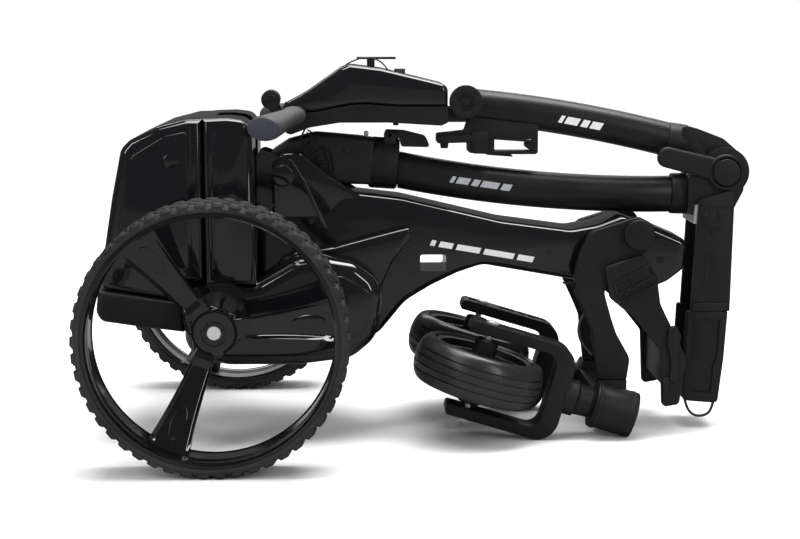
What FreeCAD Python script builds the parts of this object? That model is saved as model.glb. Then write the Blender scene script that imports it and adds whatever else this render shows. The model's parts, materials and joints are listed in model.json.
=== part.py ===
"""Folding electric golf trolley, stored folded.

Every sub-part is drawn in the chassis frame: x forward from the rear axle, y to the left, z up from the rear
axle. Its Placement then lifts it by the wheel radius and sets the origin under the middle of the trolley.
"""
import FreeCAD, Part

import math
import os

V = FreeCAD.Vector
os.makedirs("parts", exist_ok=True)
doc = FreeCAD.newDocument("golf_trolley")

SIZES = {
    "wheel_diameter": 320, "tyre_width": 76, "track": 534, "tyre_depth": 11, "rim_wall": 5,
    "hub_radius": 24, "hub_length": 40, "hub_inset": 31, "spoke_width": 38, "axle_radius": 8,
    "setback": 255, "run_gap": 0.05, "side_gap": 0.5, "wall": 3,
    "beam_width": 90, "pod_depth": 80, "cover_width": 250, "battery_width": 250,
    "motor_radius": 30, "motor_length": 50, "gearbox_radius": 36, "nose_radius": 18, "nose_reach": 190,
    "bearing_radius": 14, "bearing_width": 12,
    "pivot_forward": 76, "pivot_height": 170, "pivot_pin_radius": 7, "bracket_width": 61,
    "mast_length": 565, "mast_rise": 2, "mast_tube_high": 47, "mast_tube_wide": 40, "tube_wall": 2,
    "knuckle_radius": 31, "tongue_width": 43, "cheek_thickness": 11.5, "knuckle_pin_radius": 8,
    "tilt_forward": 232, "handle_rise": 90, "handle_tube_high": 44, "handle_tube_wide": 38,
    "tilt_bolt_radius": 5, "tilt_hub_radius": 17, "console_width": 84, "grip_span": 350, "grip_bar_radius": 9,
    "grip_length": 112, "button_radius": 7, "dial_radius": 12, "dial_width": 36,
    "nose_gap": 47, "arm_pivot_back": 70, "arm_pivot_height": 97, "arm_pin_radius": 6,
    "arm_gap": 124, "arm_plate_thickness": 14, "wing_thickness": 10,
    "caster_spacing": 180, "caster_angle": 16.7, "caster_back": 203, "caster_diameter": 166,
    "caster_width": 60, "caster_rim_radius": 62, "caster_trail": 6, "caster_bolt_radius": 4,
    "fork_outside": 124, "fork_leg": 14, "fork_width": 40, "crown_height": 115, "crown_thickness": 23,
    "stem_radius": 12, "neck_radius": 18, "housing_radius": 29, "housing_start": 152, "housing_end": 206,
    "cord_radius": 1.75,
}
dim = doc.addObject("Spreadsheet::Sheet", "Dim")
for row, (alias, value) in enumerate(SIZES.items(), start=1):
    dim.set(f"A{row}", alias.replace("_", " "))
    dim.set(f"B{row}", str(value))
    dim.setAlias(f"B{row}", alias)
doc.recompute()


def size(alias):
    """A driving dimension, read back from the sheet."""
    return float(dim.get(alias))


# ---- derived places in the chassis frame ------------------------------------------------------------------
WHEEL_R = size("wheel_diameter") / 2
WALL = size("wall")
BEAM = size("beam_width") / 2
POD = BEAM + size("pod_depth")
PIVOT = (size("pivot_forward"), size("pivot_height"))
KNUCKLE = (PIVOT[0] + size("mast_length"), PIVOT[1] + size("mast_rise"))
TILT = (PIVOT[0] + size("tilt_forward"), KNUCKLE[1] + size("handle_rise"))
NOSE = KNUCKLE[0] - size("nose_gap")
ARM = (NOSE - size("arm_pivot_back"), size("arm_pivot_height"))
SLOPE = math.radians(size("caster_angle"))
CASTER_X = ARM[0] - size("caster_back")
CASTER_Z = (size("housing_radius") * math.cos(SLOPE) + size("housing_end") * math.sin(SLOPE)) - WHEEL_R
YOKE_TOP = 70 - WHEEL_R
COVER_BASE = 41  # top of the pods, where the motor cover and the battery start

HOME = FreeCAD.Placement(V(-size("setback"), 0, WHEEL_R), FreeCAD.Rotation())
LEFT, RIGHT = 1, -1
SIDES = (("right", RIGHT), ("left", LEFT))
ALONG_Y = FreeCAD.Rotation(V(1, 0, 0), -90)  # turns a primitive's own z to +y
nodes = []


def keep(obj, label):
    """Give a finished sub-part its Label and its place in the row frame."""
    obj.Label = label
    nodes.append(obj)
    return obj


def primitive(kind, at=(0, 0, 0), turn=None, **sizes):
    """A Part primitive whose sizes are bound to the sheet; at holds numbers in the chassis frame."""
    obj = doc.addObject("Part::" + kind, kind)
    for prop, expression in sizes.items():
        obj.setExpression(prop, expression)
    obj.Placement = FreeCAD.Placement(V(*at), turn or FreeCAD.Rotation())
    return obj


def rod(x, z, y_low, radius, length):
    """A cylinder along +y from y_low; radius and length are sheet expressions."""
    return primitive("Cylinder", (x, y_low, z), ALONG_Y, Radius=radius, Height=length)


def box(low, high):
    """A block between two corners."""
    obj = doc.addObject("Part::Box", "Block")
    obj.Length, obj.Width, obj.Height = (b - a for a, b in zip(low, high))
    obj.Placement.Base = V(*low)
    return obj


def cut(base, *tools):
    for tool in tools:
        result = doc.addObject("Part::Cut", "Cut")
        result.Base, result.Tool = base, tool
        result.Refine = False
        base = result
    return base


def fuse(*shapes):
    result = doc.addObject("Part::MultiFuse", "Fuse")
    result.Shapes = list(shapes)
    result.Refine = False
    return result


def group(*shapes):
    """Separate solids that share one node."""
    result = doc.addObject("Part::Compound", "Group")
    result.Links = list(shapes)
    return result


def feature(shape, name="Shaped"):
    obj = doc.addObject("Part::Feature", name)
    obj.Shape = shape
    return obj


def rounded(points):
    """Edges of a closed outline. A point is (x, z) or (x, z, corner radius)."""
    ends, arcs = [], []
    count = len(points)
    for i, point in enumerate(points):
        here = V(point[0], point[1], 0)
        before, after = (V(*points[(i + s) % count][:2], 0) for s in (-1, 1))
        radius = point[2] if len(point) > 2 else 0
        a, b = (before - here).normalize(), (after - here).normalize()
        half = a.getAngle(b) / 2
        if not radius or half > math.radians(88.5):
            ends.append((here, here))
            continue
        back = min(radius / math.tan(half), 0.49 * (before - here).Length, 0.49 * (after - here).Length)
        centre = here + (a + b).normalize() * (back / math.cos(half))
        middle = centre + (here - centre).normalize() * (back * math.tan(half))
        ends.append((here + a * back, here + b * back))
        arcs.append((len(ends) - 1, Part.Arc(here + a * back, middle, here + b * back)))
    edges, arcs = [], dict(arcs)
    for i in range(count):
        if i in arcs:
            edges.append(arcs[i])
        start, end = ends[i][1], ends[(i + 1) % count][0]
        if (end - start).Length > 1e-6:
            edges.append(Part.LineSegment(start, end))
    return edges


def plate(points, y_high, depth):
    """A body padded from an outline in the xz plane, from y_high down by depth (a sheet expression)."""
    body = doc.addObject("PartDesign::Body", "Plate")
    plane = next(f for f in body.Origin.OriginFeatures if f.Role == "XZ_Plane")
    sketch = body.newObject("Sketcher::SketchObject", "Outline")
    sketch.AttachmentSupport, sketch.MapMode = [(plane, "")], "FlatFace"
    sketch.addGeometry(rounded(points), False)
    pad = body.newObject("PartDesign::Pad", "Pad")
    pad.Profile = sketch
    pad.setExpression("Length", depth)
    body.Placement.Base.y = y_high
    return body


def prism(points, y_low, y_high):
    """A solid from an outline in the xz plane between two y values."""
    wire = Part.Wire([g.toShape() for g in rounded(points)])
    face = Part.Face(wire)
    face.rotate(V(0, 0, 0), V(1, 0, 0), 90)
    face.translate(V(0, y_high, 0))
    return face.extrude(V(0, y_low - y_high, 0))


def inset(points, amount):
    """The outline moved inwards by amount, with sharp corners."""
    wire = Part.Wire([g.toShape() for g in rounded([p[:2] for p in points])])
    smaller = Part.Face(wire).makeOffset2D(-amount, 2)
    return [(v.Point.x, v.Point.y) for v in smaller.Wires[0].OrderedVertexes]


def revolved(profile):
    """A body turned about its own z from (radius, height) points."""
    body = doc.addObject("PartDesign::Body", "Turned")
    plane = next(f for f in body.Origin.OriginFeatures if f.Role == "XZ_Plane")
    sketch = body.newObject("Sketcher::SketchObject", "Section")
    sketch.AttachmentSupport, sketch.MapMode = [(plane, "")], "FlatFace"
    sketch.addGeometry(rounded(profile), False)
    turn = body.newObject("PartDesign::Revolution", "Turn")
    turn.Profile, turn.ReferenceAxis = sketch, (sketch, ["V_Axis"])
    return body


def tube(middle, high, wide, wall, cuts):
    """An oval tube along an arc through three (x, z) points, trimmed square by the blocks in cuts.

    With no wall it is solid."""
    start, mid, end = (V(x, 0, z) for x, z in middle)
    arc = Part.Arc(start, mid, end)
    path = Part.Wire([arc.toShape()])
    along = arc.tangent(arc.FirstParameter)[0]
    across = V(0, 1, 0)
    solids = []
    for shrink in (0, wall) if wall else (0,):
        half_high, half_wide = high / 2 - shrink, wide / 2 - shrink
        up = along.cross(across).normalize()
        oval = Part.Ellipse(start + up * half_high, start + across * half_wide, start)
        solids.append(path.makePipeShell([Part.Wire([oval.toShape()])], True, False))
    shape = solids[0].cut(solids[1]) if wall else solids[0]
    for low, far in cuts:
        shape = shape.cut(Part.makeBox(*(b - a for a, b in zip(low, far)), V(*low)))
    return shape


def mirrored_y(span, side):
    """A (low, high) pair of y values for a span given on the left side."""
    return span if side == LEFT else (-span[1], -span[0])


# ---- rear wheels --------------------------------------------------------------------------------------------
def rear_wheels():
    """Thin all-terrain tyre, deep dished three-spoke wheel and the half shaft that drives it."""
    tyre_in = WHEEL_R - size("tyre_depth")
    rim_in = tyre_in - size("rim_wall")
    half = size("tyre_width") / 2
    hub_r, hub_top = size("hub_radius"), -size("hub_inset")
    hub_low = hub_top - size("hub_length")
    shaft_in = BEAM + size("motor_length") + 9
    for name, side in SIDES:
        out = FreeCAD.Rotation(V(1, 0, 0), 90 if side == RIGHT else -90)
        centre = V(0, side * size("track") / 2, 0)

        tyre = revolved([(tyre_in, -half), (WHEEL_R - 4, -half, 3), (WHEEL_R, -half + 8, 3),
                         (WHEEL_R, half - 8, 3), (WHEEL_R - 4, half, 3), (tyre_in, half)])
        tyre.Placement = FreeCAD.Placement(centre, out)
        keep(tyre, f"{name}_rear_tyre")

        rim = revolved([(rim_in, -half + 4), (tyre_in, -half + 4), (tyre_in, half - 4), (rim_in, half - 4)])
        hub = primitive("Cylinder", (0, 0, hub_low), Radius="Dim.hub_radius", Height="Dim.hub_length")
        arms = []
        for turn in (8, 128, 248):
            body = doc.addObject("PartDesign::Body", "Spoke")
            plane = next(f for f in body.Origin.OriginFeatures if f.Role == "XZ_Plane")
            sketch = body.newObject("Sketcher::SketchObject", "Outline")
            sketch.AttachmentSupport, sketch.MapMode = [(plane, "")], "FlatFace"
            sketch.addGeometry(rounded([(hub_r - 6, hub_top - 6), (hub_r - 6, hub_low + 6),
                                        (rim_in + 2, -half + 8), (rim_in + 2, 4)]), False)
            pad = body.newObject("PartDesign::Pad", "Pad")
            pad.Profile, pad.Midplane = sketch, True
            pad.setExpression("Length", "Dim.spoke_width")
            body.Placement.Rotation = FreeCAD.Rotation(V(0, 0, 1), -turn * side)
            arms.append(body)
        bore = primitive("Cylinder", (0, 0, hub_low - 1), Radius="Dim.axle_radius",
                         Height="Dim.hub_length + 2")
        wheel = cut(fuse(rim, hub, *arms), bore)
        wheel.Placement = FreeCAD.Placement(centre, out)
        keep(wheel, f"{name}_rear_wheel")

        stub = size("track") / 2 + hub_top + 3
        shaft = primitive("Cylinder", (0, side * shaft_in, 0), out, Radius="Dim.axle_radius")
        shaft.Height = stub - shaft_in
        keep(shaft, f"{name}_half_shaft")


# ---- chassis ------------------------------------------------------------------------------------------------
BELLY = [(168, -52, 20), (199, -31, 30), (231, 8, 40), (264, 28, 30), (297, 44, 20), (330, 55, 20)]


def beam_outline():
    return [(-45, -35, 8), (-30, -52, 20), (10, -61), (96, -61), *BELLY,
            (NOSE - 154, 36, 40), (NOSE - 98, 30, 30), (NOSE - 49, 22, 20), (NOSE - 25, 32, 15),
            (NOSE - 4, 48, 12), (NOSE - 1, 85, 6), (NOSE - 46, 104, 8), (ARM[0] - 16, 117, 8),
            (NOSE - 117, 105, 20), (NOSE - 150, 99, 20), (NOSE - 240, 111, 60), (225, 141, 60), (150, 150, 10),
            (125, 125), (45, 125), (45, COVER_BASE), (-45, COVER_BASE)]


def beam_covers():
    """Two moulded halves that meet on the middle plane, each with a cheek that hides the mast pivot."""
    cheek = [(62, 119), (62, 184, 8), (76, 198, 12), (99, 198, 8), (138, 167, 20), (175, 140), (150, 119)]
    wall_behind = [(42.5, 119), (42.5, 204, 8), (70, 194, 6), (70, 119)]  # closes the gap to the motor cover
    inner = inset(beam_outline(), WALL)
    for name, side in SIDES:
        half = prism(beam_outline(), *mirrored_y((0, BEAM), side))
        half = half.cut(prism(inner, *mirrored_y((-1, BEAM - WALL), side)))
        half = half.fuse(prism(cheek, *mirrored_y((BEAM - 9, BEAM), side)))
        half = half.fuse(prism(wall_behind, *mirrored_y((BEAM - 9, BEAM - 5), side)))
        half = half.cut(prism([(54, 110), (98, 110), (98, 135), (54, 135)], -36, 36))
        half = half.cut(prism([(250, 47, 2), (283, 47, 2), (283, 68, 2), (250, 68, 2)], -BEAM - 1, BEAM + 1))
        shell = feature(half.removeSplitter())
        cover = cut(shell, rod(0, 0, -BEAM - 1, "Dim.motor_radius - 10", "Dim.beam_width + 2"),
                    rod(*PIVOT, -BEAM - 1, "Dim.pivot_pin_radius", "Dim.beam_width + 2"),
                    rod(*ARM, -BEAM - 1, "Dim.arm_pin_radius", "Dim.beam_width + 2"),
                    *(rod(x, z, -BEAM - 1, "2", "Dim.beam_width + 2") for x, z in screw_places()))
        keep(cover, f"{name}_beam_cover")


def screw_places():
    return [(112, 112), (240, 100), (NOSE - 180, 70), (NOSE - 36, 60)]


def cover_screws():
    """Pan-head screws through the cover walls."""
    solids = []
    for x, z in screw_places():
        for side in (LEFT, RIGHT):
            shank = Part.makeCylinder(2, WALL, V(x, side * (BEAM - WALL), z), V(0, side, 0))
            head = Part.makeCylinder(4, 2, V(x, side * BEAM, z), V(0, side, 0))
            solids.append(shank.fuse(head).removeSplitter())
    keep(feature(Part.makeCompound(solids)), "cover_screws")


def spine():
    """Steel spine inside the covers: cross tube for the motors, bar to the nose, ears for the mast pivot."""
    front = NOSE - 23
    bar = plate([(0, -11), (80, -11), (80, 78), (front, 58), (front, 80), (58, 101), (58, 11), (0, 11)], 12,
                "24")
    lug = fuse(box((ARM[0] - 10.5, -12, 66), (ARM[0] + 10.5, 12, ARM[1])),
               rod(*ARM, -12, "Dim.arm_pin_radius + 4.5", "24"))
    cross = rod(0, 0, -BEAM, "Dim.motor_radius - 10", "Dim.beam_width")
    bridge = box((56, -34.5, 95), (96, 34.5, 101))
    ear_low = size("bracket_width") / 2 + size("side_gap")
    ears = []
    for low in (-ear_low - 3.5, ear_low):
        ears += [box((56, low, 95), (96, low + 3.5, PIVOT[1])), rod(*PIVOT, low, "20", "3.5")]
    bore = rod(*PIVOT, -BEAM, "Dim.pivot_pin_radius", "Dim.beam_width")
    keep(cut(fuse(bar, lug, cross, bridge, *ears), bore, rod(*ARM, -20, "Dim.arm_pin_radius", "40")),
         "chassis_spine")


def motor_pods():
    """Side pods that close over the motors and gearboxes."""
    outline = [(-45, -35, 8), (-30, -52, 20), (10, -61), (96, -61), (160, -52, 20), (190, -28, 20),
               (198, 40, 20), (140, 75, 20), (105, 75, 20), (44, COVER_BASE, 10), (-45, COVER_BASE)]
    inner = inset(outline, WALL)
    for name, side in SIDES:
        shell = prism(outline, *mirrored_y((BEAM, POD), side))
        shell = shell.cut(prism(inner, *mirrored_y((BEAM - 1, POD - WALL), side)))
        pod = cut(feature(shell), rod(0, 0, -POD - 1, "Dim.nose_radius", "Dim.beam_width + 2*Dim.pod_depth + 2"))
        keep(pod, f"{name}_motor_pod")


def drives():
    """A motor and a gearbox with its axle nose for each wheel, and two bearings in each nose."""
    motor_out = BEAM + size("motor_length")
    box_out = POD - WALL - 2
    seat = size("bearing_radius")
    shaft = size("axle_radius") + size("run_gap")
    motors, gearboxes, bearings = [], [], []
    for side in (LEFT, RIGHT):
        def along(radius, start, stop):
            return Part.makeCylinder(radius, stop - start, V(0, side * start, 0), V(0, side, 0))
        motors.append(rod(0, 0, BEAM if side == LEFT else -motor_out, "Dim.motor_radius", "Dim.motor_length"))
        gearbox = along(size("gearbox_radius"), motor_out, box_out)
        gearbox = gearbox.fuse(along(size("nose_radius"), motor_out + 5, size("nose_reach")))
        flare = Part.makeCone(size("gearbox_radius") - 2, size("nose_radius") + 1, size("nose_reach") - 8 - POD,
                              V(0, side * POD, 0), V(0, side, 0))
        gearbox = gearbox.fuse(flare)
        gearbox = gearbox.cut(along(shaft, motor_out + 8, box_out + 20))
        gearbox = gearbox.cut(along(seat, box_out + 5, size("nose_reach") + 1))
        gearboxes.append(gearbox.removeSplitter())
        for start in (box_out + 5, size("nose_reach") - 2 - size("bearing_width")):
            stop = start + size("bearing_width")
            bearings.append(along(seat, start, stop).cut(along(shaft, start - 1, stop + 1)))
    keep(group(*motors), "drive_motors")
    keep(feature(Part.makeCompound(gearboxes)), "gearboxes")
    keep(feature(Part.makeCompound(bearings)), "axle_bearings")


def motor_cover():
    """Glossy block over the drive, with a slot that the mast leans back into, and the controller inside."""
    half = size("cover_width") / 2
    top = [(-18, COVER_BASE), (-20, 205, 20), (-12, 243, 10), (10, 245, 10), (34, 243, 12), (41, 225, 10),
           (41, COVER_BASE)]
    slot = size("bracket_width") / 2 + 4.5
    back, floor = -8, PIVOT[1] - 35
    shell = prism(top, -half, half)
    hollow = prism([(x, z) if z > COVER_BASE else (x, z - 10) for x, z in inset(top, WALL)],
                   -half + WALL, half - WALL)
    hollow = hollow.cut(Part.makeBox(80, 2 * (slot + WALL), 150, V(back - WALL, -slot - WALL, floor - WALL)))
    shell = shell.cut(hollow).cut(Part.makeBox(80, 2 * slot, 150, V(back, -slot, floor)))
    keep(feature(shell.removeSplitter()), "motor_cover")
    board = box((-18 + WALL, -half + 12, 70), (-18 + WALL + 2, -slot - 8, 170))
    keep(board, "controller_board")


def pivot_pins():
    """Mast pivot pin with dome caps, and the arm pivot pin with its spacers and big caps."""
    reach = BEAM
    pin = fuse(rod(*PIVOT, -reach, "Dim.pivot_pin_radius", "Dim.beam_width"),
               rod(*PIVOT, -reach - 6, "Dim.pivot_pin_radius + 6", "6"),
               rod(*PIVOT, reach, "Dim.pivot_pin_radius + 6", "6"))
    keep(pin, "mast_pivot_pin")
    inside = size("arm_gap") / 2
    outside = inside + size("arm_plate_thickness")
    solids = [rod(*ARM, -outside - 12, "Dim.arm_pin_radius", f"{2 * outside + 24}")]
    for side in (LEFT, RIGHT):
        low, high = mirrored_y((BEAM, inside - 0.3), side)
        solids.append(rod(*ARM, low, "Dim.arm_pin_radius + 6", f"{high - low}"))
        low, high = mirrored_y((outside + 0.3, outside + 12), side)
        solids.append(rod(*ARM, low, "Dim.arm_pin_radius + 13", f"{high - low}"))
    keep(fuse(*solids), "arm_pivot_pin")


def battery():
    """Tray that slopes down to the front, the hard case that slides out of it to the rear, and the cells."""
    half = size("battery_width") / 2
    fall = math.tan(math.radians(9))

    def seat(x):
        return 37 - fall * (x + 149)

    tray = [(-153, 8, 6), (-147, -4, 8), (-107, -10), (-45, -18), (-45, seat(-45) - 0.3), (-149, seat(-149) - 0.3)]
    shell = prism(tray, -half, half)
    lower = [(x, z if z > 0 else z - 12) for x, z in inset(tray, WALL)]
    keep(feature(shell.cut(prism(lower, -half + WALL, half - WALL))), "battery_tray")

    case = [(-149, seat(-149), 4), (-131, 148, 40), (-119, 208, 10), (-108.5, 219, 8), (-74, 235, 20),
            (-39, 244, 10), (-26, 244, 6), (-26, 46), (-48, 46), (-48, seat(-48))]
    outer = prism(case, -half, half)
    inner = inset(case, WALL)
    keep(feature(outer.cut(prism(inner, -half + WALL, half - WALL))), "battery_case")
    low = WALL / math.cos(math.radians(9))
    cells = prism([(-120, seat(-120) + low), (-56, seat(-56) + low), (-56, 180), (-112, 180)],
                  -half + 25, half - 25)
    keep(feature(cells), "battery_cells")


# ---- mast ---------------------------------------------------------------------------------------------------
def mast():
    """Lower oval tube with its ribbed pivot bracket, the latch lever on top and the fold knuckle in front."""
    px, pz = PIVOT
    kx, kz = KNUCKLE
    half = size("bracket_width") / 2
    bracket = plate([(px - 21, pz - 20, 10), (px - 27, pz + 5, 12), (px - 14, pz + 30, 10), (px + 6, pz + 43, 10),
                     (px + 40, pz + 52, 10), (px + 66, pz + 50, 20), (px + 99, pz + 47, 20), (px + 146, pz + 42),
                     (px + 146, pz - 18), (px + 113, pz - 14, 20), (px + 78, pz - 13, 20), (px + 44, pz - 18, 20),
                     (px + 14, pz - 31, 20)], half, "Dim.bracket_width")
    lugs = [box((px + 128, low, pz + 38), (px + 144, low + 5, pz + 54)) for low in (-20, 15)]
    hinge = (px + 136, pz + 49)
    bore = rod(px, pz, -half - 1, "Dim.pivot_pin_radius + Dim.run_gap", "Dim.bracket_width + 2")
    pocket = rod(*hinge, -21, "2.5 + Dim.run_gap", "42")
    keep(cut(fuse(bracket, *lugs), bore, pocket), "mast_bracket")

    lever = plate([(hinge[0] - 8, hinge[1] - 3, 2), (hinge[0] - 5, hinge[1] + 6, 3), (hinge[0] + 18, hinge[1] + 5, 6),
                   (hinge[0] + 46, hinge[1] - 2, 6), (hinge[0] + 52, hinge[1] - 16, 3),
                   (hinge[0] + 15, hinge[1] - 15, 2), (hinge[0] + 12, hinge[1] - 4.5, 2)], 14.5, "29")
    keep(fuse(lever, rod(*hinge, -20, "2.5", "40")), "mast_latch_lever")

    front = kx - 47
    shape = tube([(px + 134, pz + 6), (px + 0.57 * size("mast_length"), pz - 22), (front + 12, kz - 30)],
                 size("mast_tube_high"), size("mast_tube_wide"), size("tube_wall"),
                 [((px + 60, -40, pz - 60), (px + 146, 40, pz + 60)), ((front, -40, kz - 90), (front + 60, 40, kz + 30))])
    keep(feature(shape), "mast_tube")

    tongue = size("tongue_width") / 2 + size("side_gap") / 2
    thick = size("cheek_thickness")
    solids = []
    for low in (-tongue - thick, tongue):
        side = prism([(front, kz - 55, 6), (kx + 8, kz - 55, 10), (kx + 27, kz - 18, 10), (kx, kz),
                      (kx - 25, kz, 6), (front, kz - 6, 4)], low, low + thick)
        solids += [feature(side), rod(kx, kz, low, "Dim.knuckle_radius", "Dim.cheek_thickness")]
    web = prism([(front, kz - 55), (kx - 6, kz - 55), (kx - 6, kz - 43), (kx - 34, kz - 40), (kx - 38, kz - 6),
                 (front, kz - 6)], -tongue, tongue)
    keep(cut(fuse(feature(web), *solids), rod(kx, kz, -60, "Dim.knuckle_pin_radius", "120")), "knuckle_base")

    reach = tongue + thick
    pin = fuse(rod(kx, kz, -reach, "Dim.knuckle_pin_radius", f"{2 * reach}"),
               rod(kx, kz, reach, "Dim.knuckle_pin_radius + 9", "5"),
               rod(kx, kz, -reach - 8, "Dim.knuckle_pin_radius - 2", "8"),
               rod(kx, kz, -reach - 13, "Dim.knuckle_pin_radius + 9", "5"))
    keep(pin, "knuckle_pin")

    bar = prism([(kx - 88, kz + 20, 12), (kx - 64, kz + 30, 8), (kx - 4, kz + 15, 8), (kx + 12, kz - 6, 8),
                 (kx - 4, kz - 15, 8), (kx - 60, kz + 2, 8), (kx - 85, kz + 6, 8)], -reach - 7.7, -reach - 0.3)
    lever_bore = rod(kx, kz, -reach - 9, "Dim.knuckle_pin_radius - 2 + Dim.run_gap", "10")
    keep(cut(feature(bar), lever_bore), "fold_lever")


def bag_bracket():
    """Upper bag support: a channel that hangs from the knuckle, its foot and the elastic cord under it."""
    kx, kz = KNUCKLE
    cheek = size("tongue_width") / 2 + size("side_gap") / 2 + size("cheek_thickness")
    side = [(kx - 35, kz - 36, 4), (kx + 9, kz - 22, 6), (kx + 11, kz - 40), (kx + 8, kz - 179), (kx - 42, kz - 179),
            (kx - 36, kz - 60)]
    walls = [prism(side, low, low + 8) for low in (cheek, -cheek - 8)]
    back = prism([(kx + 2, kz - 60), (kx + 10, kz - 60), (kx + 8, kz - 179), (kx, kz - 179)], -cheek, cheek)
    keep(feature(walls[0].fuse(walls[1]).fuse(back).removeSplitter()), "bag_bracket")

    foot = [(kx - 47, kz - 179), (kx + 6, kz - 179), (kx + 2, kz - 240, 10), (kx - 5, kz - 300, 6),
            (kx - 51, kz - 296, 6), (kx - 50, kz - 240, 10)]
    block = prism(foot, -cheek - 8, cheek + 8)
    hollow = prism([(kx - 60, kz - 178), (kx - 4, kz - 178), (kx - 8, kz - 240), (kx - 15, kz - 288),
                    (kx - 60, kz - 288)], -cheek + 2, cheek - 2)
    keep(feature(block.cut(hollow)), "bag_bracket_foot")

    ends = [V(kx - 44, 0, kz - 296.8), V(kx - 26, 0, kz - 320), V(kx - 10, 0, kz - 299.6)]
    path = Part.Wire([Part.Arc(*ends).toShape()])
    ring = Part.Wire([Part.Circle(ends[0], path.Edges[0].tangentAt(path.Edges[0].FirstParameter),
                                  size("cord_radius")).toShape()])
    loop = path.makePipeShell([ring], True, False)
    loop.translate(V(0, -cheek - 2, 0))
    keep(feature(loop.cut(prism(foot, -cheek - 9, cheek + 9))), "bag_cord")


# ---- handle and console ---------------------------------------------------------------------------------------
def handle():
    """Upper oval tube with the tilt hub at its end, and the arm that carries it on the knuckle."""
    kx, kz = KNUCKLE
    tx, tz = TILT
    end = kx - 53
    line = [(tx + 4, tz - 6), (tx + 0.44 * (kx - tx), tz - 25), (end + 10, tz - 57.5)]
    section = size("handle_tube_high"), size("handle_tube_wide")
    trim = [((end, -40, tz - 120), (end + 60, 40, tz))]
    shape = tube(line, *section, size("tube_wall"), trim)
    solid_tube = tube(line, *section, 0, trim)
    hub = Part.makeCylinder(size("tilt_hub_radius"), 44, V(tx, -22, tz), V(0, 1, 0))
    bolt_way = Part.makeCylinder(size("tilt_bolt_radius"), 60, V(tx, -30, tz), V(0, 1, 0))
    keep(feature(shape.fuse(hub).cut(bolt_way).removeSplitter()), "handle_tube")

    knob_face = 31
    bolt = fuse(rod(tx, tz, -knob_face, "Dim.tilt_bolt_radius", f"{2 * knob_face}"),
                rod(tx, tz, -knob_face - 11, "Dim.tilt_hub_radius + 4", "11"),
                rod(tx, tz, knob_face, "Dim.tilt_hub_radius - 5", "6"))
    keep(bolt, "tilt_knob")

    half = size("tongue_width") / 2
    arm = plate([(end, kz + 12), (end, kz + 59, 4), (kx - 35, kz + 55, 30), (kx - 1, kz + 42, 20),
                 (kx + 27, kz + 18, 10), (kx, kz), (kx - 35, kz + 6, 10)], half, "Dim.tongue_width")
    eye = rod(kx, kz, -half, "Dim.knuckle_radius", "Dim.tongue_width")
    keep(cut(fuse(arm, eye), rod(kx, kz, -60, "Dim.knuckle_pin_radius + Dim.run_gap", "120")), "knuckle_arm")

    holder = plate([(tx + 6, tz - 20, 3), (tx + 94, tz - 30, 3), (tx + 94, tz - 68, 4), (tx + 30, tz - 68, 3),
                    (tx + 4, tz - 66, 4), (tx + 4, tz - 53, 3), (tx - 36, tz - 54, 3), (tx - 36, tz - 42, 3),
                    (tx, tz - 38, 3)], 17, "34")
    window = box((tx + 38, -18, tz - 64), (tx + 88, 18, tz - 49))
    keep(cut(holder, window, feature(solid_tube)), "accessory_holder")


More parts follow.
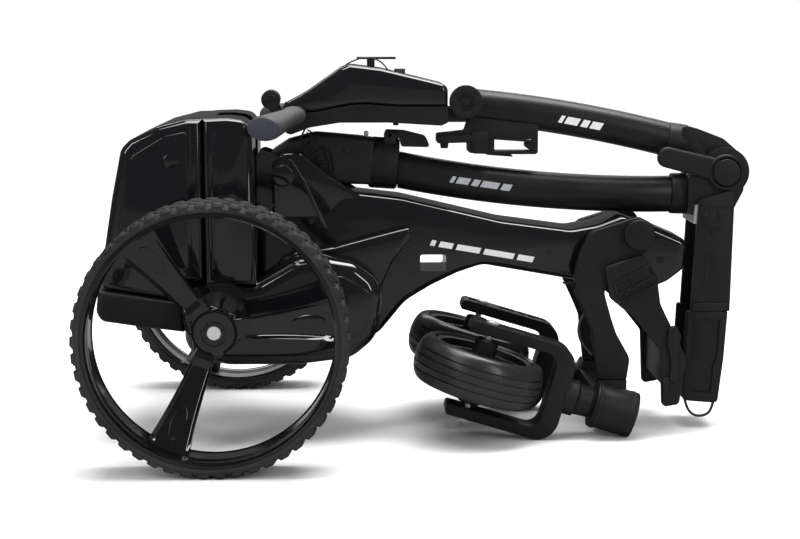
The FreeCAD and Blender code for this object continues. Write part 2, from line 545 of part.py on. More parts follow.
def console():
    """Glossy top shell over a matte tray, with its circuit board, button, dial and card clip."""
    tx, tz = TILT
    half = size("console_width") / 2
    seam = [(tx - 234, tz - 12), (tx - 192, tz - 13, 10), (tx - 147, tz - 4, 10), (tx - 127, tz - 3, 10),
            (tx - 84, tz - 6, 10), (tx - 23, tz - 6)]
    top = seam + [(tx - 23, tz + 22, 6), (tx - 42, tz + 26, 20), (tx - 108, tz + 42, 20), (tx - 148, tz + 47, 10),
                  (tx - 158, tz + 43, 10), (tx - 198, tz + 15, 20), (tx - 211, tz + 7, 20), (tx - 230, tz - 3, 5)]
    low = seam[::-1] + [(tx - 236, tz - 30, 6), (tx - 224, tz - 42, 8), (tx - 198, tz - 32, 20),
                        (tx - 160, tz - 26, 20), (tx - 98, tz - 26, 20), (tx - 31, tz - 30, 10), (tx - 23, tz - 26)]
    bar_x, bar_z = tx - 210, tz - 13
    span = size("grip_span") / 2
    bend = half + 3
    tip = (bar_x - 40, bar_z - 13)
    route = [V(tip[0], -span, tip[1]), V(bar_x, -bend, bar_z), V(bar_x, bend, bar_z), V(tip[0], span, tip[1])]
    bar = bent_tube(route, size("grip_bar_radius"), 12)

    shell = prism(top, -half, half).cut(lifted(top, -half + WALL, half - WALL, -10))
    button = (tx - 83, tz + 20)
    hole = Part.makeCylinder(size("button_radius") + 0.1, 40, V(button[0], 0, button[1]), V(0, 0, 1))
    post = Part.makeCylinder(5, 22, V(tx - 120, 0, tz + 34), V(0, 0, 1))
    keep(feature(shell.cut(bar).cut(hole).cut(post)), "console_shell")

    tray = prism(low, -half, half).cut(lifted(low, -half + WALL, half - WALL, 10))
    ear_low = 23.5
    for y in (ear_low, -ear_low - 6.5):
        ear = Part.makeBox(29, 6.5, 18, V(tx - 29, y, tz - 26))
        tray = tray.fuse(ear).fuse(Part.makeCylinder(16, 6.5, V(tx, y, tz), V(0, 1, 0)))
    dial = (tx - 248, tz + 2)
    dial_half = size("dial_width") / 2
    for y in (dial_half + 1, -dial_half - 6):
        ear = prism([(dial[0] - 6, dial[1] - 6, 4), (dial[0] - 6, dial[1] + 6, 5), (dial[0] + 6, dial[1] + 6, 5),
                     (tx - 235, tz - 14), (tx - 234, tz - 28), (tx - 240, tz - 24)], y, y + 5)
        tray = tray.fuse(ear)
    tilt_way = Part.makeCylinder(size("tilt_bolt_radius") + size("run_gap"), 80, V(tx, -40, tz), V(0, 1, 0))
    dial_way = Part.makeCylinder(3 + size("run_gap"), 60, V(dial[0], -30, dial[1]), V(0, 1, 0))
    keep(feature(tray.cut(bar).cut(tilt_way).cut(dial_way).removeSplitter()), "console_tray")

    wheel = fuse(rod(*dial, -dial_half, "Dim.dial_radius", "Dim.dial_width"),
                 rod(*dial, -dial_half - 6, "3", "Dim.dial_width + 12"))
    keep(wheel, "control_dial")
    cap = primitive("Cylinder", (button[0], 0, button[1] + 2), Radius="Dim.button_radius", Height="19")
    keep(cap, "power_button")
    keep(box((tx - 178, -half + WALL, tz - 1), (tx - 50, half - WALL, tz + 1)), "console_board")
    clip = post.fuse(Part.makeBox(50, 4, 3, V(tx - 138, -2, tz + 53)))
    keep(feature(clip.removeSplitter()), "card_clip")
    keep(feature(bar), "grip_bar")

    caps = []
    for name, side in SIDES:
        root = V(bar_x, side * bend, bar_z)
        end = V(tip[0], side * span, tip[1])
        along = (end - root).normalize()
        start = end - along * size("grip_length")
        grip = oval_bar(start, end, 20, 14).cut(rod_between(start, end, size("grip_bar_radius")))
        keep(feature(grip), f"{name}_grip")
        caps.append(oval_bar(end, end + along * 4, 20, 14))
    keep(feature(Part.makeCompound(caps)), "grip_caps")


def lifted(points, y_low, y_high, shift):
    """The hollow of an open shell: the inset outline, joined to its own copy moved up or down."""
    hollow = prism(inset(points, WALL), y_low, y_high)
    moved = hollow.copy()
    moved.translate(V(0, 0, shift))
    return hollow.fuse(moved)


def bent_tube(route, radius, bend):
    """A round bar through the points of a route, with an arc at each corner."""
    edges, last = [], route[0]
    for before, here, after in zip(route, route[1:], route[2:]):
        a, b = (before - here).normalize(), (after - here).normalize()
        half = a.getAngle(b) / 2
        back = bend
        centre = here + (a + b).normalize() * (back / math.cos(half))
        middle = centre + (here - centre).normalize() * (back * math.tan(half))
        edges.append(Part.LineSegment(last, here + a * back).toShape())
        edges.append(Part.Arc(here + a * back, middle, here + b * back).toShape())
        last = here + b * back
    edges.append(Part.LineSegment(last, route[-1]).toShape())
    ring = Part.Wire([Part.Circle(route[0], route[1] - route[0], radius).toShape()])
    return Part.Wire(edges).makePipeShell([ring], True, False)


def rod_between(start, end, radius):
    along = end - start
    return Part.makeCylinder(radius, along.Length, start, along)


def oval_bar(start, end, half_wide, half_high):
    """A straight bar of oval section, wide in the plane of the floor."""
    along = end - start
    wide = along.cross(V(0, 0, 1)).normalize()
    high = wide.cross(along).normalize()
    oval = Part.Ellipse(start + wide * half_wide, start + high * half_high, start)
    return Part.Face(Part.Wire([oval.toShape()])).extrude(along)


# ---- front arm and casters --------------------------------------------------------------------------------------
def drop(share):
    """A height between the arm pivot (0) and the top of the yoke (1)."""
    return ARM[1] - share * (ARM[1] - YOKE_TOP)


def swivel_frame(y):
    """The frame of a caster: its own z runs up the swivel axis, y along the wheel axle."""
    up = V(math.cos(SLOPE), 0, -math.sin(SLOPE))
    axle = V(math.sin(SLOPE), 0, math.cos(SLOPE))
    return FreeCAD.Placement(V(CASTER_X, y, CASTER_Z), FreeCAD.Rotation(V(0, 1, 0), axle, up, "ZXY"))


def front_arm():
    """Two S-shaped plates, the yoke with the swivel housings, and the lower bag cradle."""
    ax = ARM[0]
    inside = size("arm_gap") / 2
    thick = size("arm_plate_thickness")
    outline = [(ax - 24, drop(-0.08), 12), (ax, drop(-0.12), 16), (ax + 21, drop(-0.06), 14), (ax + 21, drop(0.06), 12),
               (ax + 4, drop(0.16), 20), (ax - 26, drop(0.29), 20), (ax - 43, drop(0.38), 14), (ax - 33, drop(0.57), 20),
               (ax - 26, drop(0.68), 20), (ax - 8, drop(0.85), 20), (ax - 12, drop(1)), (ax - 50, drop(1)),
               (ax - 55, drop(0.76), 20), (ax - 57, drop(0.66), 20), (ax - 65, drop(0.56), 20), (ax - 79, drop(0.4), 20),
               (ax - 80, drop(0.26), 20), (ax - 74, drop(0.13), 20), (ax - 60, drop(-0.02), 14)]
    for name, side in SIDES:
        high = mirrored_y((inside, inside + thick), side)[1]
        arm = plate(outline, high, "Dim.arm_plate_thickness")
        keep(cut(arm, rod(*ARM, -200, "Dim.arm_pin_radius + Dim.run_gap", "400")), f"{name}_arm_plate")

    reach = size("caster_spacing") / 2
    bar_end = reach - 15
    solids, bores = [box((ax - 54, -bar_end, CASTER_Z - 68), (ax - 16, bar_end, CASTER_Z - 30))], []
    for y in (-reach, reach):
        housing = primitive("Cylinder", Radius="Dim.housing_radius", Height="Dim.housing_end - Dim.housing_start")
        housing.Placement = swivel_frame(y) * FreeCAD.Placement(V(0, 0, size("housing_start")), FreeCAD.Rotation())
        bore = primitive("Cylinder", Radius="Dim.stem_radius + Dim.run_gap", Height="Dim.housing_end - Dim.housing_start")
        bore.Placement = swivel_frame(y) * FreeCAD.Placement(V(0, 0, size("housing_start") - 6), FreeCAD.Rotation())
        solids.append(housing)
        bores.append(bore)
    for side in (LEFT, RIGHT):
        low, high = mirrored_y((inside, inside + thick), side)
        solids.append(box((ax - 50, low, CASTER_Z - 50), (ax - 12, high, YOKE_TOP)))
    keep(cut(fuse(*solids), *bores), "caster_yoke")

    wing = [(ax - 44, drop(0.22), 6), (ax + 6, drop(0.13), 8), (ax + 23, drop(0.28), 12), (ax + 28, drop(0.47), 20),
            (ax + 62, drop(0.84), 10), (ax + 54, drop(1.16), 6), (ax + 32, drop(1.18), 6), (ax + 29, drop(0.79), 10),
            (ax - 4, drop(0.57), 10), (ax - 36, drop(0.43), 10)]
    for name, side in SIDES:
        high = mirrored_y((inside + thick, inside + thick + size("wing_thickness")), side)[1]
        keep(plate(wing, high, "Dim.wing_thickness"), f"{name}_cradle_wing")
    keep(box((ax + 36, -inside - thick, drop(1.06)), (ax + 54, inside + thick, drop(0.8))), "bag_cradle")

    ends = [V(ax - 64, 0, drop(0.52)), V(ax - 73, 0, drop(0.66)), V(ax - 54, 0, drop(0.8))]
    path = Part.Wire([Part.Arc(*ends).toShape()])
    ring = Part.Wire([Part.Circle(ends[0], path.Edges[0].tangentAt(path.Edges[0].FirstParameter),
                                  size("cord_radius")).toShape()])
    cable = path.makePipeShell([ring], True, False)
    cable.translate(V(0, -inside - thick / 2, 0))
    keep(feature(cable.cut(prism(outline, -200, 200))), "arm_cable")


def casters():
    """Two independent casters: U-shaped fork with its stem, tyre, rim and axle bolt."""
    outside, leg = size("fork_outside") / 2, size("fork_leg")
    top, crown = size("crown_height"), size("crown_thickness")
    trail = size("caster_trail")
    wheel_r, rim_r, half = size("caster_diameter") / 2, size("caster_rim_radius"), size("caster_width") / 2
    on_axle = FreeCAD.Placement(V(-trail, 0, 0), ALONG_Y)
    for name, side in SIDES:
        frame = swivel_frame(side * size("caster_spacing") / 2)
        inner = outside - leg
        legs = plate_yz([(outside, -27, 6), (outside, top, 28), (-outside, top, 28), (-outside, -27, 6),
                         (-inner, -27, 3), (-inner, top - crown, 16), (inner, top - crown, 16), (inner, -27, 3)])
        neck = primitive("Cylinder", (0, 0, top - 2), Radius="Dim.neck_radius",
                         Height="Dim.housing_start - Dim.crown_height + 2 - Dim.side_gap")
        stem = primitive("Cylinder", (0, 0, top), Radius="Dim.stem_radius",
                         Height="Dim.housing_end - Dim.crown_height - 8")
        bolt_way = primitive("Cylinder", (-trail, -outside - 1, 0), ALONG_Y, Radius="Dim.caster_bolt_radius",
                             Height="Dim.fork_outside + 2")
        fork = cut(fuse(legs, neck, stem), bolt_way)
        fork.Placement = frame
        keep(fork, f"{name}_caster_fork")

        tyre = revolved([(rim_r, -half + 4), (rim_r + 4, -half, 3), (wheel_r - 14, -half, 16), (wheel_r, 0, 60),
                         (wheel_r - 14, half, 16), (rim_r + 4, half, 3), (rim_r, half - 4)])
        tyre.Placement = frame * on_axle
        keep(tyre, f"{name}_caster_tyre")

        hub_half = inner - 1
        bore = size("caster_bolt_radius") + size("run_gap")
        rim = revolved([(bore, -hub_half), (14, -hub_half), (16, -8), (rim_r - 5, -8), (rim_r - 5, -half + 4),
                        (rim_r, -half + 4), (rim_r, half - 4), (rim_r - 5, half - 4), (rim_r - 5, 8), (16, 8),
                        (14, hub_half), (bore, hub_half)])
        rim.Placement = frame * on_axle
        keep(rim, f"{name}_caster_rim")

        bolt = fuse(primitive("Cylinder", (-trail, -outside, 0), ALONG_Y, Radius="Dim.caster_bolt_radius",
                              Height="Dim.fork_outside"),
                    primitive("Cylinder", (-trail, -outside - 4, 0), ALONG_Y, Radius="Dim.caster_bolt_radius + 4",
                              Height="4"),
                    primitive("Cylinder", (-trail, outside, 0), ALONG_Y, Radius="Dim.caster_bolt_radius + 4",
                              Height="4"))
        bolt.Placement = frame
        keep(bolt, f"{name}_caster_bolt")


def plate_yz(points):
    """The fork's U, padded both ways from the yz plane by the fork width."""
    body = doc.addObject("PartDesign::Body", "Legs")
    plane = next(f for f in body.Origin.OriginFeatures if f.Role == "YZ_Plane")
    sketch = body.newObject("Sketcher::SketchObject", "Outline")
    sketch.AttachmentSupport, sketch.MapMode = [(plane, "")], "FlatFace"
    sketch.addGeometry(rounded(points), False)
    pad = body.newObject("PartDesign::Pad", "Pad")
    pad.Profile, pad.Midplane = sketch, True
    pad.setExpression("Length", "Dim.fork_width")
    return body


for build in (rear_wheels, beam_covers, cover_screws, spine, motor_pods, drives, motor_cover, pivot_pins, battery,
              mast, bag_bracket, handle, console, front_arm, casters):
    build()
doc.recompute()

for obj in nodes:
    obj.Placement = HOME * obj.Placement
doc.recompute()

bad = [f"{o.Label} ({o.Name})" for o in doc.Objects if {"Invalid", "Error"} & set(o.State)]
bad += [o.Label for o in nodes if o.Shape.isNull() or not o.Shape.isValid() or not o.Shape.Solids]
if bad:
    raise SystemExit("failed objects: " + ", ".join(bad))
if len({o.Label for o in nodes}) != len(nodes) or len(nodes) > 60:
    raise SystemExit(f"{len(nodes)} nodes, or two share a name")
for obj in nodes:
    obj.Shape.exportStep(f"parts/{obj.Label}.step")
print(len(nodes), "nodes")
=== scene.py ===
"""Folding electric golf trolley, stored folded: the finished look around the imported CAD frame.

Outlines are in millimetres from the rear axle, x forward and z up, as a drawing of the trolley's side would
give them; place() turns them into the frame's metres. y runs across the trolley, to its left.
"""

import json
from math import atan2, cos, pi, radians, sin, tan

import bpy
from mathutils import Matrix, Vector


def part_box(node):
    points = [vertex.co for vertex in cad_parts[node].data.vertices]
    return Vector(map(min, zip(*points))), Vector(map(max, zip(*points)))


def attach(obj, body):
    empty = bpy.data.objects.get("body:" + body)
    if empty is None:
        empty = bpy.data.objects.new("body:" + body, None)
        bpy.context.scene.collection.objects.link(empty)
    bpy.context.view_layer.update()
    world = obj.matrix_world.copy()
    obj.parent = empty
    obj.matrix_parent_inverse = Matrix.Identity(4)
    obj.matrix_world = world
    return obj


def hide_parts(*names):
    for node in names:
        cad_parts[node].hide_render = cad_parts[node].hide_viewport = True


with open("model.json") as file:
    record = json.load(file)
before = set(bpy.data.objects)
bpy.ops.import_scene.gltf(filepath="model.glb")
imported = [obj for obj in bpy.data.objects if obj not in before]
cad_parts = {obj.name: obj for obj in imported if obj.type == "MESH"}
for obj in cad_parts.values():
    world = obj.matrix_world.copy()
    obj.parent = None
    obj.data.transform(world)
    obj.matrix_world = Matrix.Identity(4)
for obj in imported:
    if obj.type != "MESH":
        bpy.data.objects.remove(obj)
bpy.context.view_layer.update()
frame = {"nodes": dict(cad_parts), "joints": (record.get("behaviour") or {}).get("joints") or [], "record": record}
nodes = frame["nodes"]
slot_of = {part["node"]: part["material_slot"] for part in frame["record"]["subparts"]}
joint_at = {joint["name"]: Vector(joint.get("pos_m", (0, 0, 0))) for joint in frame["joints"]}
joint_axis = {joint["name"]: Vector(joint["axis"]) for joint in frame["joints"]}

MM = 0.001
SIDES = ((-1, "right"), (1, "left"))
REAR = joint_at["right_rear_wheel_spin"]


def from_axle(joint):
    """A joint's place in the drawing: millimetres forward of and above the rear axle."""
    return ((joint_at[joint].x - REAR.x) / MM, (joint_at[joint].z - REAR.z) / MM)


PIVOT, KNUCKLE, TILT, ARM = (from_axle(name) for name in
                             ("mast_fold", "handle_fold", "handle_tilt", "front_arm_fold"))
TRACK = abs(REAR.y) / MM
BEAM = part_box("left_beam_cover")[1].y / MM
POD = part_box("left_motor_pod")[1].y / MM
NOSE = (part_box("left_beam_cover")[1].x - REAR.x) / MM
WHEEL_R = (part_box("right_rear_tyre")[1].z - REAR.z) / MM
DRIVE_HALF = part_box("motor_cover")[1].y / MM


# ---- camera, light and floor -------------------------------------------------------------------------------
def camera():
    """Stands low in front of the right side, a little behind the middle."""
    bpy.ops.object.camera_add(location=(-0.1012, -2.4005, 0.5207),
                              rotation=(radians(82.47), 0, radians(-1.71)))
    eye = bpy.context.object
    eye.data.lens, eye.data.sensor_width = 83.86, 36
    bpy.context.scene.camera = eye


def softbox(name, spot, aim, width, height, power):
    bpy.ops.object.light_add(type="AREA", location=spot)
    lamp = bpy.context.object
    lamp.name = name
    lamp.data.shape, lamp.data.size, lamp.data.size_y = "RECTANGLE", width, height
    lamp.data.energy = power
    lamp.rotation_euler = (Vector(aim) - Vector(spot)).to_track_quat("-Z", "Y").to_euler()


def studio():
    """Pale floor, a pale surround, and soft boxes that draw long highlights on the black shells."""
    bpy.context.scene.view_settings.view_transform = "Standard"
    bpy.ops.mesh.primitive_circle_add(vertices=96, radius=14, fill_type="NGON")
    floor = bpy.context.object
    floor.name = "floor"
    floor.data.materials.append(material("floor_paper", (0.93, 0.93, 0.93), 0.9, spread=0.0, dusting=0.0,
                                         grain=(900, 0.01)))
    tree = floor.data.materials[0].node_tree
    path, tone = tree.nodes.new("ShaderNodeLightPath"), tree.nodes.new("ShaderNodeMix")
    tone.data_type = "RGBA"  # the shells mirror a darker floor than the one in view
    tone.inputs["A"].default_value = (0.93, 0.93, 0.93, 1)
    tone.inputs["B"].default_value = (0.16, 0.16, 0.16, 1)
    tree.links.new(path.outputs["Is Glossy Ray"], tone.inputs["Factor"])
    tree.links.new(tone.outputs["Result"], tree.nodes["Principled BSDF"].inputs["Base Color"])
    world = bpy.context.scene.world or bpy.data.worlds.new("surround")
    bpy.context.scene.world = world
    world.use_nodes = True
    tree = world.node_tree
    tree.nodes.clear()
    glow, seen, dim = (tree.nodes.new("ShaderNodeBackground") for _ in range(3))
    for surround, strength in ((glow, 0.55), (seen, 1.0), (dim, 0.09)):
        surround.inputs["Color"].default_value = (1, 1, 1, 1)
        surround.inputs["Strength"].default_value = strength
    path, out = tree.nodes.new("ShaderNodeLightPath"), tree.nodes.new("ShaderNodeOutputWorld")
    by_camera, by_gloss = tree.nodes.new("ShaderNodeMixShader"), tree.nodes.new("ShaderNodeMixShader")
    tree.links.new(path.outputs["Is Camera Ray"], by_camera.inputs[0])
    tree.links.new(glow.outputs[0], by_camera.inputs[1])
    tree.links.new(seen.outputs[0], by_camera.inputs[2])
    tree.links.new(path.outputs["Is Glossy Ray"], by_gloss.inputs[0])
    tree.links.new(by_camera.outputs[0], by_gloss.inputs[1])
    tree.links.new(dim.outputs[0], by_gloss.inputs[2])
    tree.links.new(by_gloss.outputs[0], out.inputs["Surface"])
    bpy.ops.object.light_add(type="SUN", rotation=(radians(-14), radians(6), 0))
    sun = bpy.context.object
    sun.name = "skylight"
    sun.data.energy, sun.data.angle = 2.1, radians(42)
    softbox("overhead", (0.1, -0.2, 2.2), (0, 0, 0.1), 2.4, 0.8, 42)
    softbox("front_left", (-1.9, -2.0, 1.5), (-0.1, 0, 0.2), 0.35, 1.7, 20)
    softbox("front_right", (1.6, -2.2, 1.3), (0.1, 0, 0.2), 0.25, 1.5, 13)
    softbox("behind", (0.2, 2.2, 1.6), (0, 0, 0.25), 2.6, 0.4, 14)


# ---- materials ---------------------------------------------------------------------------------------------
def effect_group(name, inputs, outputs):
    """An empty shader node group with its named sockets."""
    tree = bpy.data.node_groups.new(name, "ShaderNodeTree")
    for label, kind in inputs:
        tree.interface.new_socket(label, in_out="INPUT", socket_type="NodeSocket" + kind)
    for label, kind in outputs:
        tree.interface.new_socket(label, in_out="OUTPUT", socket_type="NodeSocket" + kind)
    return tree, tree.nodes.new("NodeGroupInput"), tree.nodes.new("NodeGroupOutput")


def moulded_skin():
    """Fine grain in the surface: a bumped normal from two sizes of noise."""
    tree, given, out = effect_group("moulded_skin", [("Scale", "Float"), ("Depth", "Float")],
                                    [("Normal", "Vector")])
    spots = tree.nodes.new("ShaderNodeTexCoord")
    fine, coarse = tree.nodes.new("ShaderNodeTexNoise"), tree.nodes.new("ShaderNodeTexNoise")
    fine.inputs["Detail"].default_value = 3
    coarse.inputs["Scale"].default_value = 55
    blend = tree.nodes.new("ShaderNodeMix")
    blend.data_type = "FLOAT"
    blend.inputs["Factor"].default_value = 0.2
    bump = tree.nodes.new("ShaderNodeBump")
    bump.inputs["Distance"].default_value = 0.0006
    for noise in (fine, coarse):
        tree.links.new(spots.outputs["Object"], noise.inputs["Vector"])
    tree.links.new(given.outputs["Scale"], fine.inputs["Scale"])
    tree.links.new(fine.outputs["Fac"], blend.inputs["A"])
    tree.links.new(coarse.outputs["Fac"], blend.inputs["B"])
    tree.links.new(blend.outputs["Result"], bump.inputs["Height"])
    tree.links.new(given.outputs["Depth"], bump.inputs["Strength"])
    tree.links.new(bump.outputs["Normal"], out.inputs["Normal"])
    return tree


def handled():
    """Where hands and dust have dulled the surface: a roughness and a colour that drift over the piece."""
    tree, given, out = effect_group(
        "handled", [("Colour", "Color"), ("Dust", "Color"), ("Roughness", "Float"), ("Spread", "Float"),
                    ("Dusting", "Float")], [("Colour", "Color"), ("Roughness", "Float")])
    spots = tree.nodes.new("ShaderNodeTexCoord")
    smears, specks = tree.nodes.new("ShaderNodeTexNoise"), tree.nodes.new("ShaderNodeTexNoise")
    smears.inputs["Scale"].default_value, smears.inputs["Detail"].default_value = 9, 5
    smears.inputs["Distortion"].default_value = 0.6
    specks.inputs["Scale"].default_value, specks.inputs["Detail"].default_value = 240, 4
    range_ = tree.nodes.new("ShaderNodeMapRange")
    range_.inputs["From Min"].default_value, range_.inputs["From Max"].default_value = 0.35, 0.75
    settle = tree.nodes.new("ShaderNodeMath")
    settle.operation = "MULTIPLY"
    amount = tree.nodes.new("ShaderNodeMath")
    amount.operation = "MULTIPLY"
    colour = tree.nodes.new("ShaderNodeMix")
    colour.data_type = "RGBA"
    rough = tree.nodes.new("ShaderNodeMath")
    rough.operation = "MULTIPLY_ADD"
    for noise in (smears, specks):
        tree.links.new(spots.outputs["Object"], noise.inputs["Vector"])
    tree.links.new(smears.outputs["Fac"], range_.inputs["Value"])
    tree.links.new(range_.outputs["Result"], rough.inputs[0])
    tree.links.new(given.outputs["Spread"], rough.inputs[1])
    tree.links.new(given.outputs["Roughness"], rough.inputs[2])
    tree.links.new(range_.outputs["Result"], settle.inputs[0])
    tree.links.new(specks.outputs["Fac"], settle.inputs[1])
    tree.links.new(settle.outputs[0], amount.inputs[0])
    tree.links.new(given.outputs["Dusting"], amount.inputs[1])
    tree.links.new(amount.outputs[0], colour.inputs["Factor"])
    tree.links.new(given.outputs["Colour"], colour.inputs["A"])
    tree.links.new(given.outputs["Dust"], colour.inputs["B"])
    tree.links.new(colour.outputs["Result"], out.inputs["Colour"])
    tree.links.new(rough.outputs[0], out.inputs["Roughness"])
    return tree


GROUPS = {"skin": moulded_skin(), "handled": handled()}


def material(name, colour, roughness, spread=0.08, dusting=0.1, grain=(1200, 0.05), metallic=0.0, coat=0.0,
             specular=0.5, dust=(0.22, 0.21, 0.2)):
    """A finish: its colour and roughness drift with handling, and its skin has a grain of (scale, depth)."""
    mat = bpy.data.materials.new(name)
    mat.use_nodes = True
    tree = mat.node_tree
    shader = tree.nodes["Principled BSDF"]
    shader.inputs["Metallic"].default_value = metallic
    shader.inputs["Specular IOR Level"].default_value = specular
    shader.inputs["Coat Weight"].default_value = coat
    shader.inputs["Coat Roughness"].default_value = 0.04
    wear, skin = tree.nodes.new("ShaderNodeGroup"), tree.nodes.new("ShaderNodeGroup")
    wear.node_tree, skin.node_tree = GROUPS["handled"], GROUPS["skin"]
    wear.inputs["Colour"].default_value = (*colour, 1)
    wear.inputs["Dust"].default_value = (*dust, 1)
    wear.inputs["Roughness"].default_value = roughness
    wear.inputs["Spread"].default_value = spread
    wear.inputs["Dusting"].default_value = dusting
    skin.inputs["Scale"].default_value, skin.inputs["Depth"].default_value = grain
    tree.links.new(wear.outputs["Colour"], shader.inputs["Base Color"])
    tree.links.new(wear.outputs["Roughness"], shader.inputs["Roughness"])
    tree.links.new(skin.outputs["Normal"], shader.inputs["Normal"])
    return mat


FINISH = {
    "gloss_black": material("gloss_black", (0.004, 0.004, 0.005), 0.06, spread=0.05, dusting=0.02,
                            grain=(300, 0.006), coat=0.6),
    "matte_black": material("matte_black", (0.006, 0.006, 0.0065), 0.4, spread=0.12, dusting=0.04,
                            grain=(1500, 0.3), specular=0.28),
    "tube_black": material("tube_black", (0.005, 0.005, 0.0055), 0.32, spread=0.08, dusting=0.03,
                           grain=(2200, 0.18), specular=0.34),
    "tyre_rubber": material("tyre_rubber", (0.012, 0.0125, 0.013), 0.6, spread=0.2, dusting=0.14,
                            grain=(700, 0.35), specular=0.3),
    "caster_rubber": material("caster_rubber", (0.012, 0.012, 0.013), 0.2, spread=0.18, dusting=0.1,
                              grain=(900, 0.1)),
    "grip_rubber": material("grip_rubber", (0.03, 0.03, 0.032), 0.5, spread=0.12, dusting=0.2,
                            grain=(1800, 0.35)),
    "cap_grey": material("cap_grey", (0.02, 0.024, 0.034), 0.45, grain=(1500, 0.15)),
    "spine_steel": material("spine_steel", (0.02, 0.02, 0.02), 0.45, metallic=0.0, grain=(900, 0.2)),
    "motor_steel": material("motor_steel", (0.45, 0.45, 0.46), 0.35, metallic=1.0, dusting=0.1),
    "bearing_steel": material("bearing_steel", (0.6, 0.6, 0.61), 0.25, metallic=1.0),
    "axle_steel": material("axle_steel", (0.7, 0.7, 0.69), 0.3, metallic=0.55, grain=(700, 0.12)),
    "clip_steel": material("clip_steel", (0.65, 0.65, 0.66), 0.15, metallic=1.0),
    "screw_black": material("screw_black", (0.02, 0.02, 0.022), 0.35, metallic=0.6),
    "board_green": material("board_green", (0.01, 0.09, 0.03), 0.45),
    "cell_wrap": material("cell_wrap", (0.02, 0.06, 0.18), 0.35),
    "cord_black": material("cord_black", (0.014, 0.014, 0.014), 0.55, grain=(1800, 0.5)),
    "pale_mark": material("pale_mark", (0.6, 0.6, 0.6), 0.4, dusting=0.15),
    "dull_mark": material("dull_mark", (0.3, 0.31, 0.33), 0.4, dusting=0.15),
    # silver for the bag bracket's strike plate, and a painted reflection on the left rear wheel's inner band
    "silver_and_painted_sheen": material("silver_and_painted_sheen", (0.42, 0.42, 0.42), 0.32, metallic=0.7, grain=(700, 0.1)),
}


# ---- modelling helpers -------------------------------------------------------------------------------------
def select(*objs):
    """Only these objects are selected; the first is the active one."""
    if bpy.context.object and bpy.context.object.mode != "OBJECT":
        bpy.ops.object.mode_set(mode="OBJECT")
    bpy.ops.object.select_all(action="DESELECT")
    for obj in objs:
        obj.select_set(True)
    bpy.context.view_layer.objects.active = objs[0]


def edit(obj, pick=None):
    """Into edit mode on obj with all of it selected, or only the faces that pick(face) chooses."""
    select(obj)
    bpy.ops.object.mode_set(mode="EDIT")
    bpy.ops.mesh.select_mode(type="FACE")
    bpy.ops.mesh.select_all(action="SELECT" if pick is None else "DESELECT")
    if pick:
        bpy.ops.object.mode_set(mode="OBJECT")
        for face in obj.data.polygons:
            face.select = bool(pick(face))
        bpy.ops.object.mode_set(mode="EDIT")


def done():
    bpy.ops.object.mode_set(mode="OBJECT")


def settle(obj):
    """Put the object's place into its mesh."""
    obj.data.transform(obj.matrix_basis)
    obj.matrix_basis = Matrix.Identity(4)
    return obj


def modify(obj, kind, **settings):
    select(obj)
    modifier = obj.modifiers.new(kind.lower(), kind)
    for key, value in settings.items():
        setattr(modifier, key, value)
    bpy.ops.object.modifier_apply(modifier=modifier.name)
    return obj


def outward(obj):
    edit(obj)
    bpy.ops.mesh.remove_doubles(threshold=1e-5)
    bpy.ops.mesh.normals_make_consistent(inside=False)
    done()
    return obj


def smooth(obj, angle=38):
    select(obj)
    bpy.ops.object.shade_smooth_by_angle(angle=radians(angle))
    return obj


def soften(obj, width, segments=3, angle=34):
    """Rounded edges wherever the surface turns sharply."""
    modify(obj, "BEVEL", width=width * MM, segments=segments, limit_method="ANGLE",
           angle_limit=radians(angle),
           use_clamp_overlap=True, harden_normals=False)
    return smooth(obj)


def rounded(corners, steps=6):
    """Points of a closed outline. A corner is (x, z) or (x, z, radius)."""
    points = []
    count = len(corners)
    for i, corner in enumerate(corners):
        here = Vector(corner[:2])
        before, after = (Vector(corners[(i + step) % count][:2]) for step in (-1, 1))
        radius = corner[2] if len(corner) > 2 else 0
        a, b = (before - here), (after - here)
        half = a.angle(b) / 2
        if not radius or half > radians(88.5):
            points.append(here)
            continue
        back = min(radius / tan(half), 0.49 * a.length, 0.49 * b.length)
        radius = back * tan(half)
        a.normalize(), b.normalize()
        centre = here + (a + b).normalized() * (radius / sin(half))
        start, end = here + a * back - centre, here + b * back - centre
        sweep = start.angle_signed(end)
        turns = max(2, min(steps, round(abs(sweep) / radians(9))))
        for n in range(turns + 1):
            angle = -sweep * n / turns
            points.append(centre + Matrix.Rotation(angle, 2) @ start)
    return points


def place(x, z, y=0):
    """A point of the drawing, in the frame's metres."""
    return Vector((REAR.x + x * MM, y * MM, REAR.z + z * MM))


def slab(name, corners, low, high, steps=6):
    """An outline of the drawing extruded across the trolley, from y = low to y = high."""
    points = rounded(corners, steps)
    bpy.ops.mesh.primitive_circle_add(vertices=len(points), fill_type="NGON")
    piece = bpy.context.object
    piece.name = name
    for vertex, point in zip(piece.data.vertices, points):
        vertex.co = place(point.x, point.y, low)
    edit(piece)
    bpy.ops.mesh.extrude_region_move(TRANSFORM_OT_translate={"value": (0, (high - low) * MM, 0)})
    done()
    return outward(piece)


def faces_side(sign):
    """Picks the faces that look across the trolley, to its left (+1) or right (-1)."""
    return lambda face: face.normal.y * sign > 0.95


def round_side(piece, sign, width, segments=5, profile=0.5):
    """A large round where the side face of a slab meets its rim."""
    edit(piece, faces_side(sign))
    bpy.ops.mesh.bevel(offset=width * MM, segments=segments, profile=profile, affect="EDGES",
                       clamp_overlap=False)
    done()
    return piece


def step_side(piece, sign, border, depth):
    """Sink the middle of the side face, inside a border."""
    edit(piece, faces_side(sign))
    bpy.ops.mesh.inset(thickness=border * MM, depth=0)
    bpy.ops.mesh.inset(thickness=abs(depth) * 0.4 * MM, depth=-depth * MM)
    done()
    return piece


